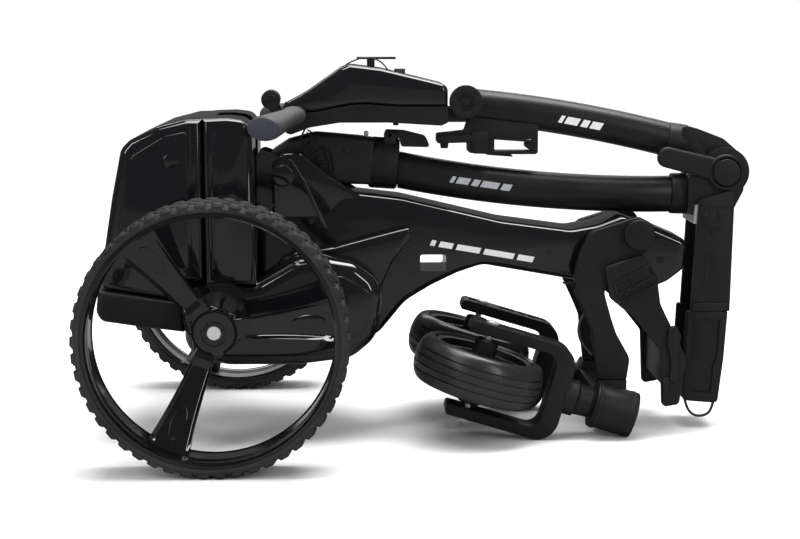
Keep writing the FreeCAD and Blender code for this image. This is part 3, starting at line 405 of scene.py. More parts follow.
def turned(name, profile, matrix=None, steps=48):
    """A shape spun about its own z from (radius, height) points."""
    bpy.ops.mesh.primitive_circle_add(vertices=len(profile), fill_type="NOTHING")
    piece = bpy.context.object
    piece.name = name
    for vertex, (radius, height) in zip(piece.data.vertices, profile):
        vertex.co = (radius * MM, 0, height * MM)
    select(piece)
    bpy.ops.object.mode_set(mode="EDIT")
    bpy.ops.mesh.select_all(action="SELECT")
    bpy.ops.mesh.spin(steps=steps, angle=2 * pi, center=(0, 0, 0), axis=(0, 0, 1))
    done()
    outward(piece)
    if matrix:
        piece.data.transform(matrix)
    return smooth(piece)


def rod(name, start, end, radius, sides=32, tip=0.6):
    """A round bar between two points of the frame, with eased ends; radius and tip in millimetres."""
    along = end - start
    bpy.ops.mesh.primitive_cylinder_add(vertices=sides, radius=radius * MM, depth=along.length,
                                        location=(start + end) / 2,
                                        rotation=along.to_track_quat("Z", "Y").to_euler())
    piece = bpy.context.object
    piece.name = name
    settle(piece)
    return soften(piece, tip, 2, 50)


def across(name, x, z, low, high, radius, **how):
    """A round bar across the trolley."""
    return rod(name, place(x, z, low), place(x, z, high), radius, **how)


def join(name, *pieces):
    select(*pieces)
    bpy.ops.object.join()
    piece = bpy.context.object
    piece.name = name
    return piece


def carve(piece, *tools):
    """Cut the tools out of the piece."""
    for tool in tools:
        modify(piece, "BOOLEAN", operation="DIFFERENCE", solver="EXACT", object=tool)
        bpy.data.objects.remove(tool)
    return piece


def copied(piece, name, matrix):
    twin = piece.copy()
    twin.data = piece.data.copy()
    twin.name = name
    bpy.context.collection.objects.link(twin)
    twin.data.transform(matrix)
    if matrix.determinant() < 0:
        twin.data.flip_normals()
    return twin


ACROSS = Matrix.Scale(-1, 4, (0, 1, 0))  # the same piece on the other side


def softened(node, width, segments=2, angle=34, name=None):
    """A copy of a CAD node with its sharp edges eased."""
    piece = bpy.data.objects.new(name or node + "_shape", nodes[node].data.copy())
    bpy.context.collection.objects.link(piece)
    piece.data.materials.clear()
    edit(piece)
    bpy.ops.mesh.remove_doubles(threshold=2e-6)
    bpy.ops.mesh.dissolve_limited(angle_limit=radians(0.4))
    done()
    modify(piece, "BEVEL", width=width * MM, segments=segments, limit_method="ANGLE",
           angle_limit=radians(angle), use_clamp_overlap=True)
    return smooth(piece)


def wear(piece, finish, body, *replaced, slot=None):
    """The piece's finish, the body that it rides on, and the CAD nodes that it stands for."""
    piece.data.materials.clear()
    piece.data.materials.append(FINISH[finish])
    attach(piece, body)
    if replaced:
        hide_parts(*replaced)
    return piece


def screw(name, spot, facing, radius=4.5):
    """A screw head drawn as a short plain round boss, without the cross of a cross-head screw; it stands on spot
    and looks along facing.
    """
    facing = Vector(facing).normalized()
    head = rod(name, spot - facing * 0.002, spot + facing * 0.0016, radius, sides=24, tip=0.8)
    return head


# ---- rear wheels -------------------------------------------------------------------------------------------
RIM_OUT = WHEEL_R - 11
RIM_IN = RIM_OUT - 5
TYRE_HALF = 38
TREAD_LUGS = 50


def wheel_frame(side):
    """The frame of a rear wheel: its own z points away from the trolley."""
    return Matrix.Translation((REAR.x, side * TRACK * MM, REAR.z)) @ Matrix.Rotation(-side * pi / 2, 4, "X")


def lug(radius, height, length, width, skew):
    """One tread block, standing on the tyre at radius, its middle at height; skew turns it out of line."""
    bpy.ops.mesh.primitive_cube_add(size=1, location=(radius * MM, 0, height * MM), rotation=(skew, 0, 0),
                                    scale=(4.4 * MM, length * MM, width * MM))
    block = settle(bpy.context.object)
    edit(block, lambda face: face.normal.x > 0.9)
    bpy.ops.transform.resize(value=(1, 0.82, 0.86))
    done()
    return modify(block, "BEVEL", width=0.9 * MM, segments=1)


def tread():
    """The blocks of one tyre: two shoulder rows, two rows between them, and the blocks on both flanks."""
    blocks = []
    pitch = 2 * pi / TREAD_LUGS
    crown = WHEEL_R - 2.4
    rows = [(TYRE_HALF - 11, 0, 13.5, 19, 0.24), (-TYRE_HALF + 11, 0.5, 13.5, 19, -0.24),
            (8, 0.6, 12, 13, -0.5),
            (-8, 0.1, 12, 13, 0.5)]
    for height, phase, length, width, skew in rows:
        block = lug(crown, height, length, width, skew)
        for n in range(TREAD_LUGS):
            blocks.append(copied(block, "block", Matrix.Rotation((n + phase) * pitch, 4, "Z")))
        bpy.data.objects.remove(block)
    for sign, phase in ((1, 0), (-1, 0.5)):
        bpy.ops.mesh.primitive_cube_add(size=1, location=((crown - 3.8) * MM, 0,
                                                          sign * (TYRE_HALF - 2.6) * MM),
                                        rotation=(0, sign * -0.2, 0), scale=(8 * MM, 12.5 * MM, 3.0 * MM))
        flank = modify(settle(bpy.context.object), "BEVEL", width=0.8 * MM, segments=1)
        for n in range(TREAD_LUGS):
            blocks.append(copied(flank, "flank", Matrix.Rotation((n + phase) * pitch, 4, "Z")))
        bpy.data.objects.remove(flank)
    return join("tread", *blocks)


def spoke(turn):
    """A broad arm that flares from the deep hub out to the rim, its panel sunk between raised edges."""
    root, tip, rows = 16, RIM_IN + 1.5, 14
    bpy.ops.mesh.primitive_grid_add(x_subdivisions=rows, y_subdivisions=8, size=2)
    arm = bpy.context.object

    def shape(share):
        return 12.5 + 15 * share ** 1.8  # half its width

    for vertex in arm.data.vertices:
        share = (vertex.co.x + 1) / 2
        across_share = vertex.co.y
        edge = abs(across_share) > 0.8
        x = root + (tip - root) * share
        top = -35 + 38 * share ** 1.15
        sink = 0 if edge or not 0.16 < share < 0.93 else 4.6
        vertex.co = (x * MM, across_share * shape(share) * MM, (top - sink) * MM)
    edit(arm)
    bpy.ops.mesh.extrude_region_move(TRANSFORM_OT_translate={"value": (0, 0, -7 * MM)})
    bpy.ops.transform.resize(value=(1, 0.94, 1))
    done()
    outward(arm)
    soften(arm, 1.6, 2, 25)
    # a second, narrower rib behind the panel stiffens the arm
    bpy.ops.mesh.primitive_cube_add(size=1)
    rib = settle(bpy.context.object)
    for vertex in rib.data.vertices:
        share = vertex.co.x + 0.5
        low = (-62 + 30 * share) if vertex.co.z < 0 else (-42 + 38 * share)
        vertex.co = ((root + (tip - root) * share) * MM, vertex.co.y * 9 * MM, low * MM)
    soften(rib, 1.2, 2)
    # the oval badge panel near the rim, left plain
    bpy.ops.mesh.primitive_cylinder_add(vertices=40, radius=1, depth=1)
    badge = settle(bpy.context.object)
    for vertex in badge.data.vertices:
        x = 112 + vertex.co.x * 20
        share = (x - root) / (tip - root)
        height = -35 + 38 * share ** 1.15 - 4.6 + vertex.co.z * 2
        vertex.co = (x * MM, vertex.co.y * 8.5 * MM, height * MM)
    soften(badge, 0.7, 2)
    arm = join("arm", arm, rib, badge)
    arm.data.transform(Matrix.Rotation(turn, 4, "Z"))
    return arm


def rear_wheel(side, name):
    rim = turned("rim", [(RIM_IN + 0.6, -TYRE_HALF + 3), (RIM_IN - 1.6, -TYRE_HALF + 6),
                         (RIM_IN, -TYRE_HALF + 9),
                         (RIM_IN, 3), (RIM_IN - 1, 6), (RIM_IN, 9), (RIM_IN, TYRE_HALF - 9),
                         (RIM_IN - 1.6, TYRE_HALF - 6), (RIM_IN + 0.6, TYRE_HALF - 3),
                         (RIM_OUT, TYRE_HALF - 3.4),
                         (RIM_OUT, -TYRE_HALF + 3.4)], steps=96)
    hub = turned("hub", [(8.4, -31), (12, -31), (12.6, -33), (15.5, -33), (16, -30.4), (24, -30.4),
                         (27, -32.5),
                         (28, -38), (28, -52), (24, -70), (19, -71), (8.4, -71)], steps=60)
    flange = turned("flange", [(22, -38), (31, -39), (32, -41), (32, -47), (30, -49), (22, -49)], steps=6)
    flange.data.transform(Matrix.Rotation(radians(38), 4, "Z"))
    soften(flange, 1.5, 2, 20)
    slots = []
    for n in range(4):
        bpy.ops.mesh.primitive_cube_add(size=1, location=(11.5 * MM, 0, -31 * MM),
                                        scale=(7 * MM, 4 * MM, 8 * MM))
        slots.append(copied(settle(bpy.context.object), "slot", Matrix.Rotation(n * pi / 2 + 0.5, 4, "Z")))
        bpy.data.objects.remove(bpy.context.object)
    carve(hub, join("slots", *slots))
    bolts = []
    for n in range(3):
        spot = Matrix.Rotation(radians(68 + 120 * n), 4, "Z") @ Vector((27.5 * MM, 0, -38.6 * MM))
        bolts.append(screw("bolt", spot, (0, 0, 1), 3.2))
    arms = [spoke(radians(8 + 120 * n) * -side) for n in range(3)]
    wheel = join(f"{name}_wheel_casting", rim, smooth(hub, 30), flange, *bolts, *arms)
    wheel.data.transform(wheel_frame(side))
    wear(wheel, "gloss_black", f"{name}_rear_wheel", f"{name}_rear_wheel")

    band = turned(f"{name}_inner_band", [(RIM_IN - 0.5, -TYRE_HALF + 9), (RIM_IN - 0.5, 1.5),
                                         (RIM_IN + 0.3, 1.5),
                                         (RIM_IN + 0.3, -TYRE_HALF + 9)], wheel_frame(side), steps=96)
    # the left wheel's inner band is painted silver as the bright reflection along its rim; the right wheel's band
    # stays gloss black like the rest of the casting
    wear(band, "silver_and_painted_sheen" if side > 0 else "gloss_black", f"{name}_rear_wheel", slot="gloss_black")

    carcass = turned("carcass", [(RIM_OUT - 0.2, -TYRE_HALF + 2.5), (RIM_OUT + 1, -TYRE_HALF + 1),
                                 (RIM_OUT + 4, -TYRE_HALF + 0.6), (WHEEL_R - 3.6, -TYRE_HALF + 3.4),
                                 (WHEEL_R - 2.8, -TYRE_HALF + 14), (WHEEL_R - 2.4, 0),
                                 (WHEEL_R - 2.8, TYRE_HALF - 14), (WHEEL_R - 3.6, TYRE_HALF - 3.4),
                                 (RIM_OUT + 4, TYRE_HALF - 0.6), (RIM_OUT + 1, TYRE_HALF - 1),
                                 (RIM_OUT - 0.2, TYRE_HALF - 2.5)], steps=120)
    tyre = join(f"{name}_block_tyre", carcass, tread())
    tyre.data.transform(wheel_frame(side))
    wear(smooth(tyre, 40), "tyre_rubber", f"{name}_rear_wheel", f"{name}_rear_tyre")


# ---- chassis shells ----------------------------------------------------------------------------------------
COVER_BASE = 41
BELLY = [(168, -52, 24), (199, -31, 34), (231, 8, 44), (264, 28, 34), (297, 44, 30), (330, 55, 30)]


def beam_outline():
    """The hull seen from the side: deep over the motors, a slim neck, and the nose with the arm pivot."""
    return [(-45, -35, 10), (-30, -52, 22), (10, -60), (96, -60, 40), *BELLY,
            (NOSE - 154, 36, 40), (NOSE - 98, 30, 30), (NOSE - 49, 22, 20), (NOSE - 25, 32, 15),
            (NOSE - 4, 48, 12),
            (NOSE - 1, 85, 10), (NOSE - 46, 104, 14), (ARM[0] - 16, 117, 14), (NOSE - 117, 105, 30),
            (NOSE - 150, 99, 30), (NOSE - 240, 111, 80), (225, 141, 80), (150, 150, 30), (125, 125, 6),
            (45, 125),
            (45, COVER_BASE), (-45, COVER_BASE)]


def hull_half(side, name):
    """One half of the long shell, with its round shoulders, its cheek over the mast pivot and its window."""
    low, high = sorted((0.15 * side, BEAM * side))
    shell = slab(f"{name}_hull", beam_outline(), low, high)
    round_side(shell, side, 9, 6)
    window = slab("window", [(250, 47, 3), (283, 47, 3), (283, 68, 3), (250, 68, 3)], low - 2, high + 2)
    well = slab("well", [(54, 110), (98, 110), (98, 135), (54, 135)], -36, 36)
    carve(shell, window, well)
    smooth(shell, 30)
    wall = slab("wall", [(42.5, 119), (42.5, 204, 8), (70, 194, 6), (70, 119)],
                *sorted(((BEAM - 9) * side, (BEAM - 5) * side)))
    cheek = [(62, 105), (62, 184, 10), (76, 198, 14), (99, 198, 10), (138, 167, 30), (182, 139, 20),
             (176, 126, 10),
             (160, 100)]
    fin = slab("cheek", cheek, *sorted(((BEAM - 9) * side, (BEAM - 0.2) * side)))
    round_side(fin, side, 4, 4)
    crease = slab("crease", [(82, 190, 3), (101, 158, 40), (118, 121, 20), (127, 101, 3), (133, 101, 3),
                             (123, 122, 20), (106, 160, 40), (88, 190, 3)],
                  *sorted(((BEAM - 1) * side, (BEAM + 2) * side)))
    soften(crease, 1.2, 3)
    wear(join(f"{name}_hull", shell, wall, smooth(fin, 30), crease), "gloss_black", "chassis",
         f"{name}_beam_cover")


def pod(side, name):
    """The wide side of the hull over motor and gearbox: a full round on its rim and a sunk end panel."""
    outline = [(-45, -35, 30), (-26, -54, 34), (10, -61, 40), (96, -61, 40), (162, -53, 40), (194, -26, 40),
               (202, 40, 34), (166, 68, 34), (120, 76, 40), (92, 72, 30), (44, 44, 20), (-45, 44, 22)]
    shell = slab(f"{name}_pod_shell", outline, *sorted((BEAM * side, (POD - 0.2) * side)))
    round_side(shell, side, 18, 8)
    smooth(shell, 30)
    ring = across("ring", 0, 0, *sorted(((POD - 14) * side, (POD - 0.4) * side)), 46, sides=64, tip=3)
    ledge = slab("ledge", [(60, 60, 20), (92, 76, 20), (140, 82, 20), (192, 96, 20), (236, 107, 6),
                           (240, 96, 8),
                           (212, 60, 30), (196, 20, 20), (120, 20, 20)],
                 *sorted(((BEAM - 2) * side, (BEAM + 32) * side)))
    round_side(ledge, side, 5, 5)
    panel = slab("panel", [(128, -30, 10), (178, -22, 20), (188, 30, 16), (150, 52, 14), (122, 50, 10)],
                 *sorted(((POD - 3) * side, (POD + 0.8) * side)))
    soften(panel, 1.0, 3)
    wear(join(f"{name}_pod_shell", shell, ring, smooth(ledge, 30), panel), "gloss_black", "chassis",
         f"{name}_motor_pod")


def gearboxes():
    """Ribbed cone and bearing nose on each side, running out to the wheel's hub."""
    solids = [softened("gearboxes", 1.2)]
    reach = (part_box("gearboxes")[1].y) / MM
    for side in (-1, 1):
        for n in range(8):
            turn = n * pi / 4 + 0.2
            fin = slab("fin", [(17, -2), (34, -2), (31, 2), (17, 2)], 0, reach - POD - 14)
            centre = Matrix.Translation((REAR.x, 0, REAR.z))
            taper = Matrix.Translation((0, (POD + 1 if side > 0 else 13 - reach) * MM, 0))
            fin.data.transform(taper @ centre @ Matrix.Rotation(turn, 4, "Y") @ centre.inverted())
            solids.append(smooth(fin, 30))
    wear(join("gearbox_castings", *solids), "matte_black", "chassis", "gearboxes")


def drive_housing():
    """The glossy block over the drive, slotted for the mast, with a raised frame on its flanks."""
    outline = [(-18, COVER_BASE - 1), (-19, 245), (10, 246, 30), (34, 243, 16), (41, 225, 18),
               (41, 131), (44.8, 127), (44.8, COVER_BASE - 1)]
    block = slab("drive_housing", outline, -DRIVE_HALF, DRIVE_HALF)
    round_side(block, -1, 7, 6)
    round_side(block, 1, 7, 6)
    slot = slab("slot", [(-8, 135, 8), (70, 135), (70, 300), (-8, 300)], -35, 35)
    carve(block, slot)
    smooth(block, 30)
    lines = []
    for side in (-1, 1):
        rib = slab("rib", [(-9, 60, 3), (-11, 200, 16), (-4, 231, 6), (-1, 231, 6), (-7, 198, 16),
                           (-6, 60, 3)],
                   *sorted(((DRIVE_HALF - 1) * side, (DRIVE_HALF + 0.7) * side)))
        lines.append(soften(rib, 0.6, 2))
    wear(join("drive_housing", block, *lines), "gloss_black", "chassis", "motor_cover")


FALL = tan(radians(9))


def battery():
    """Hard battery case with wide chamfers, a flat panel inside a raised border, and the tray below it."""
    def seat(x):
        return 37 - FALL * (x + 149)

    half = DRIVE_HALF
    case = [(-149, seat(-149), 13), (-131, 148, 60), (-119, 208, 18), (-108.5, 219, 14), (-74, 235, 30),
            (-39, 244, 20), (-19.6, 244.5), (-19.6, 46), (-48, 46), (-48, seat(-48))]
    shell = slab("battery_shell", case, -half, half)
    for side in (-1, 1):
        round_side(shell, side, 9, 6)
    smooth(shell, 30)
    trims = []
    for side in (-1, 1):
        border = [(-131, 60, 4), (-117, 150, 60), (-106, 200, 10), (-66, 224, 20), (-44, 229, 10),
                  (-38, 229, 3),
                  (-38, 60, 3)]
        panel = slab("panel", border, *sorted(((half - 2) * side, (half + 0.8) * side)))
        round_side(panel, side, 1.2, 3)
        disc = across("disc", -57, 194, *sorted(((half - 2) * side, (half + 1.8) * side)), 9.5, sides=48,
                      tip=0.8)
        seam = slab("seam", [(-34.5, 58), (-33, 58), (-33, 236), (-34.5, 236)],
                    *sorted(((half - 2) * side, (half + 0.5) * side)))
        trims += [smooth(panel, 30), disc, seam]
    wear(join("battery_shell", shell, *trims), "gloss_black", "battery", "battery_case")

    tray = [(-153, 8, 14), (-147, -4, 14), (-107, -10, 30), (-45, -18), (-45, seat(-45) - 0.6),
            (-150, seat(-150) - 0.6)]
    base = slab("battery_cradle", tray, -half, half)
    for side in (-1, 1):
        round_side(base, side, 7, 5)
    wear(smooth(base, 30), "matte_black", "chassis", "battery_tray")


def pivot_caps():
    """Glossy caps and rings on the mast pivot, and the big plain discs on the arm pivot."""
    wear(softened("mast_pivot_pin", 1.2, 3), "gloss_black", "chassis", "mast_pivot_pin")
    wear(softened("arm_pivot_pin", 1.6, 3), "matte_black", "chassis", "arm_pivot_pin")
    for side, name in SIDES:
        ring = turned(f"{name}_pivot_ring", [(11.5, -1), (13, 1.6), (14.5, 1.6), (15.5, -1)],
                      Matrix.Translation(place(*PIVOT, side * BEAM)) @ Matrix.Rotation(-side * pi / 2, 4,
                                                                                       "X"))
        wear(ring, "gloss_black", "chassis", slot="gloss_black")


def beam_marks():
    """Plain slanting pale bars low on both sides of the beam, where such a trolley carries a decoration."""
    bars, slope = [], 0.17
    for side in (-1, 1):
        for start, width in ((262, 6), (273, 17), (295, 30), (330, 38), (373, 20)):
            lift = 80 - slope * (start - 262)
            bars.append(slab("bar", [(start, lift), (start + width, lift - slope * width),
                                     (start + width + 3, lift + 7 - slope * width), (start + 3, lift + 7)],
                             *sorted(((BEAM - 0.6) * side, (BEAM + 0.25) * side))))
    wear(join("beam_marks", *bars), "pale_mark", "chassis", slot="cap_grey")


# ---- mast and knuckle --------------------------------------------------------------------------------------
def bent_tube(node, name):
    """The CAD tube with its ends eased."""
    return softened(node, 0.8, 2, 50, name)


def sleeve(name, start, end, high, wide, tip=3):
    """An oval band round a tube, between two points of its middle line."""
    along = end - start
    bpy.ops.mesh.primitive_cylinder_add(vertices=72, radius=0.5, depth=along.length)
    piece = bpy.context.object
    piece.name = name
    turn = along.to_track_quat("Z", "Y").to_matrix().to_4x4()
    across_part = turn.inverted() @ Vector((0, 1, 0, 0))
    sideways = abs(across_part.x) > 0.5
    scale = (wide, high) if sideways else (high, wide)
    piece.data.transform(Matrix.Translation((start + end) / 2) @ turn @ Matrix.Diagonal((scale[0] * MM,
                                                                                         scale[1] * MM,
                                                                                       1, 1)))
    return soften(piece, tip, 4, 50)


def stripes(name, start, end, y, height, widths, body, finish="pale_mark", slot="cap_grey", lean=3.5):
    """Plain slanting pale bars along a line of the drawing, on both sides of a tube."""
    bars, share = [], 0
    along = Vector(end) - Vector(start)
    up = Vector((-along.y, along.x)).normalized() * height
    direction = along.normalized()
    for width, gap in widths:
        a = Vector(start) + direction * share
        b = a + direction * width
        tilt = direction * lean
        for face in (-y, y):
            bars.append(slab("bar", [a, b, b + up + tilt, a + up + tilt], face - 0.25, face + 0.25))
        share += width + gap
    wear(join(name, *bars), finish, body, slot=slot)


def mast():
    """Ribbed pivot bracket, collar and latch, oval tube and the end fitting before the knuckle."""
    px, pz = PIVOT
    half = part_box("mast_bracket")[1].y / MM
    outline = [(px - 21, pz - 20, 12), (px - 27, pz + 5, 14), (px - 14, pz + 30, 14), (px + 6, pz + 43, 14),
               (px + 40, pz + 52, 18), (px + 66, pz + 50, 24), (px + 99, pz + 47, 24), (px + 118, pz + 44),
               (px + 113, pz - 14), (px + 78, pz - 13, 24), (px + 44, pz - 18, 24), (px + 14, pz - 31, 24)]
    bracket = slab("pivot_bracket", outline, -half + 1, half - 1)
    ribs = []
    for side in (-1, 1):
        round_side(bracket, side, 7, 5)
        face = sorted(((half - 3) * side, (half - 0.1) * side))
        for radius in (38, 50, 62):
            ring = [Vector((px, pz)) + Vector((cos(a), sin(a))) * radius for a in
                    (radians(t) for t in range(-16, 66, 6))]
            inner = [Vector((px, pz)) + Vector((cos(a), sin(a))) * (radius - 2) for a in
                     (radians(t) for t in range(60, -22, -6))]
            ribs.append(slab("rib", ring + inner, *face))
        for turn in range(-16, 66, 16):
            along = Vector((cos(radians(turn)), sin(radians(turn))))
            flat = Vector((-along.y, along.x))
            root, tip = Vector((px, pz)) + along * 28, Vector((px, pz)) + along * 66
            ribs.append(slab("rib", [root - flat, tip - flat, tip + flat, root + flat], *face))
    well = slab("well", [(px + 28, pz - 12, 8), (px + 66, pz - 6, 10), (px + 62, pz + 30, 10),
                         (px + 36, pz + 44, 10),
                         (px + 18, pz + 34, 8)], -half - 2, -half + 4)
    wells = [well, copied(well, "well", ACROSS)]
    carve(bracket, *wells)
    bracket = join("pivot_bracket", smooth(bracket, 30), *ribs)

    collar = sleeve("collar", place(px + 110, pz + 13.5), place(px + 147, pz + 11), 66, 2 * half - 3, 4)
    screws = [screw("screw", place(px + x, pz + z, side * y), (0, side, 0), 4.6) for side in (-1, 1)
              for x, z, y in ((81, 30, half - 0.8), (121, 24, half - 3.6))]
    pin = across("pin", px + 106, pz + 50, -9, 9, 3.2)
    lugs = [soften(slab("lug", [(px + 128, pz + 38), (px + 144, pz + 38), (px + 144, pz + 52, 6),
                                (px + 130, pz + 53, 6)], low, low + 5), 0.6, 2) for low in (-20, 15)]
    wear(join("pivot_bracket", bracket, collar, *screws, *lugs), "matte_black", "mast", "mast_bracket")
    wear(pin, "axle_steel", "mast", slot="axle_steel")
    wear(softened("mast_latch_lever", 1.6, 3), "matte_black", "mast_latch", "mast_latch_lever")

    wear(bent_tube("mast_tube", "mast_oval_tube"), "tube_black", "mast", "mast_tube")
    stripes("mast_marks", (288, 158.4), (395, 142.4), 19.9, 8.5, ((5, 3), (16, 4), (9, 3), (22, 4), (12, 0)),
            "mast", "dull_mark")
    kx, kz = KNUCKLE
    wear(sleeve("end_sleeve", place(kx - 66, kz - 30), place(kx - 44, kz - 30.5), 53, 47), "matte_black",
         "mast",
         slot="matte_black")


def knuckle():
    """Round fold knuckle with its hub discs, and the long release bar with its ring on the right."""
    kx, kz = KNUCKLE
    wear(softened("knuckle_base", 2.2, 4), "matte_black", "mast", "knuckle_base")
    wear(softened("knuckle_pin", 1.4, 3), "matte_black", "mast", "knuckle_pin")
    low, high = (corner.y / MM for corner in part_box("fold_lever"))
    bar = slab("bar", [(kx - 84.4, kz + 34.8, 12), (kx - 90.8, kz + 9.6, 12), (kx + 10.8, kz - 18.2, 14),
                       (kx + 18.2, kz + 10.8, 14)], low + 0.4, high)
    ring = turned("ring", [(17.6, -1), (17.8, 2), (19, 7.6), (21.4, 7.9), (23, 6.4), (23.2, -1)],
                  Matrix.Translation(place(kx, kz, high)) @ Matrix.Rotation(pi / 2, 4, "X"))
    round_side(bar, -1, 4)
    wear(join("release_bar", bar, ring), "matte_black", "fold_latch", "fold_lever")
    wear(softened("knuckle_arm", 3.0, 4), "matte_black", "handle", "knuckle_arm")
    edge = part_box("knuckle_base")[1].y / MM
    ring = turned("left_knuckle_ring", [(27.5, -1), (28.5, 1.4), (30.2, 1.4), (30.8, -1)],
                  Matrix.Translation(place(kx, kz, edge)) @ Matrix.Rotation(-pi / 2, 4, "X"))
    wear(ring, "matte_black", "mast", slot="matte_black")


def bag_bracket():
    """Upper bag support: a channel with screws, spring clip, slot and silver plate, and its sunk foot."""
    kx, kz = KNUCKLE
    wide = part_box("bag_bracket")[1].y / MM
    bracket = softened("bag_bracket", 2.0, 3)
    extras = [screw("screw", place(kx - x, kz - 55, side * wide), (0, side, 0), 4.8)
              for side in (-1, 1) for x in (27, 7)]
    for side in (-1, 1):
        face = sorted(((wide - 1) * side, (wide + 1.6) * side))
        thin = sorted(((wide - 1) * side, (wide + 0.7) * side))
        clip = slab("clip", [(kx - 24, kz - 66, 1), (kx - 5, kz - 66, 1), (kx - 5, kz - 71, 1),
                             (kx - 12, kz - 73, 1),
                             (kx - 12, kz - 81, 1), (kx - 18, kz - 81, 1), (kx - 18, kz - 73, 1),
                             (kx - 24, kz - 71, 1)], *face)
        seam = slab("seam", [(kx - 34, kz - 45), (kx + 9, kz - 44), (kx + 9, kz - 45.4),
                             (kx - 34, kz - 46.4)], *thin)
        slot = slab("slot", [(kx - 25, kz - 104, 2), (kx - 15, kz - 104, 2), (kx - 16, kz - 150, 2),
                             (kx - 26, kz - 150, 2)], *thin)
        step_side(slot, side, 1.6, 2.4)
        lip = slab("lip", [(kx - 41, kz - 168, 2), (kx + 7, kz - 168, 2), (kx + 7, kz - 178, 2),
                           (kx - 41, kz - 178, 2)], *face)
        extras += [soften(clip, 0.5, 2), seam, smooth(slot, 30), soften(lip, 0.7, 2)]
    wear(join("bag_bracket_plate", bracket, *extras), "matte_black", "mast", "bag_bracket")
    tab = soften(slab("strike_plate", [(kx - 39, kz - 43, 1), (kx - 34, kz - 40, 1), (kx - 36, kz - 66, 1),
                                       (kx - 41, kz - 66, 1)], -wide + 2, wide - 2), 0.5, 2)
    wear(tab, "silver_and_painted_sheen", "mast", slot="axle_steel")

    foot = softened("bag_bracket_foot", 2.0, 3)
    wells, bosses = [], []
    for side in (-1, 1):
        well = slab("well", [(kx - 38, kz - 190, 3), (kx - 4, kz - 190, 3), (kx - 7, kz - 240, 3),
                             (kx - 12, kz - 250, 3), (kx - 14, kz - 286, 3), (kx - 38, kz - 284, 3),
                             (kx - 40, kz - 248, 3), (kx - 36, kz - 240, 3)],
                    *sorted(((wide - 2.6) * side, (wide + 2) * side)))
        wells.append(well)
        bosses += [screw("screw", place(kx + x, kz - 268, side * (wide - 0.8)), (0, side, 0), 2.8)
                   for x in (-44.5, -8.5)]
    carve(foot, *wells)
    wear(join("bag_bracket_foot_shape", smooth(foot, 30), *bosses), "matte_black", "mast", "bag_bracket_foot")


def cord(name, points, radius, body, node):
    """A thin elastic cord held at both ends: a smooth line through points of the frame."""
    bpy.ops.curve.primitive_nurbs_path_add()
    line = bpy.context.object
    line.name = name
    spline = line.data.splines[0]
    spline.points.add(max(0, len(points) - len(spline.points)))
    for point, spot in zip(spline.points, points):
        point.co = (*spot, 1)
    spline.order_u = 3
    spline.use_endpoint_u = True
    spline.resolution_u = 12
    line.data.bevel_depth = radius * MM
    line.data.bevel_resolution = 5
    line.data.use_fill_caps = True
    select(line)
    bpy.ops.object.convert(target="MESH")
    wear(smooth(bpy.context.object, 60), "cord_black", body, node)


def cords():
    kx, kz = KNUCKLE
    y = (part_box("bag_cord")[0].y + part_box("bag_cord")[1].y) / 2 / MM
    cord("bag_elastic", [place(kx - 48, kz - 290, y), place(kx - 45, kz - 306, y - 1),
                         place(kx - 35, kz - 317, y - 2), place(kx - 20, kz - 317, y - 1),
                         place(kx - 11, kz - 309, y), place(kx - 8, kz - 290, y)],
         1.75, "mast", "bag_cord")
    y = (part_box("arm_cable")[0].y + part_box("arm_cable")[1].y) / 2 / MM
    low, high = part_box("arm_cable")
    x0, x1 = (low.x - REAR.x) / MM, (high.x - REAR.x) / MM
    z0, z1 = (low.z - REAR.z) / MM, (high.z - REAR.z) / MM
    cord("arm_lead", [place(x1 - 1, z1 + 6, y), place(x0 + 8, z1 - 3, y), place(x0 + 1.5, z1 - 16, y),
                      place(x0 + 1.5, z0 + 22, y), place(x0 + 7, z0 + 8, y), place(x1 - 2, z0 - 4, y)],
         1.75, "front_arm", "arm_cable")


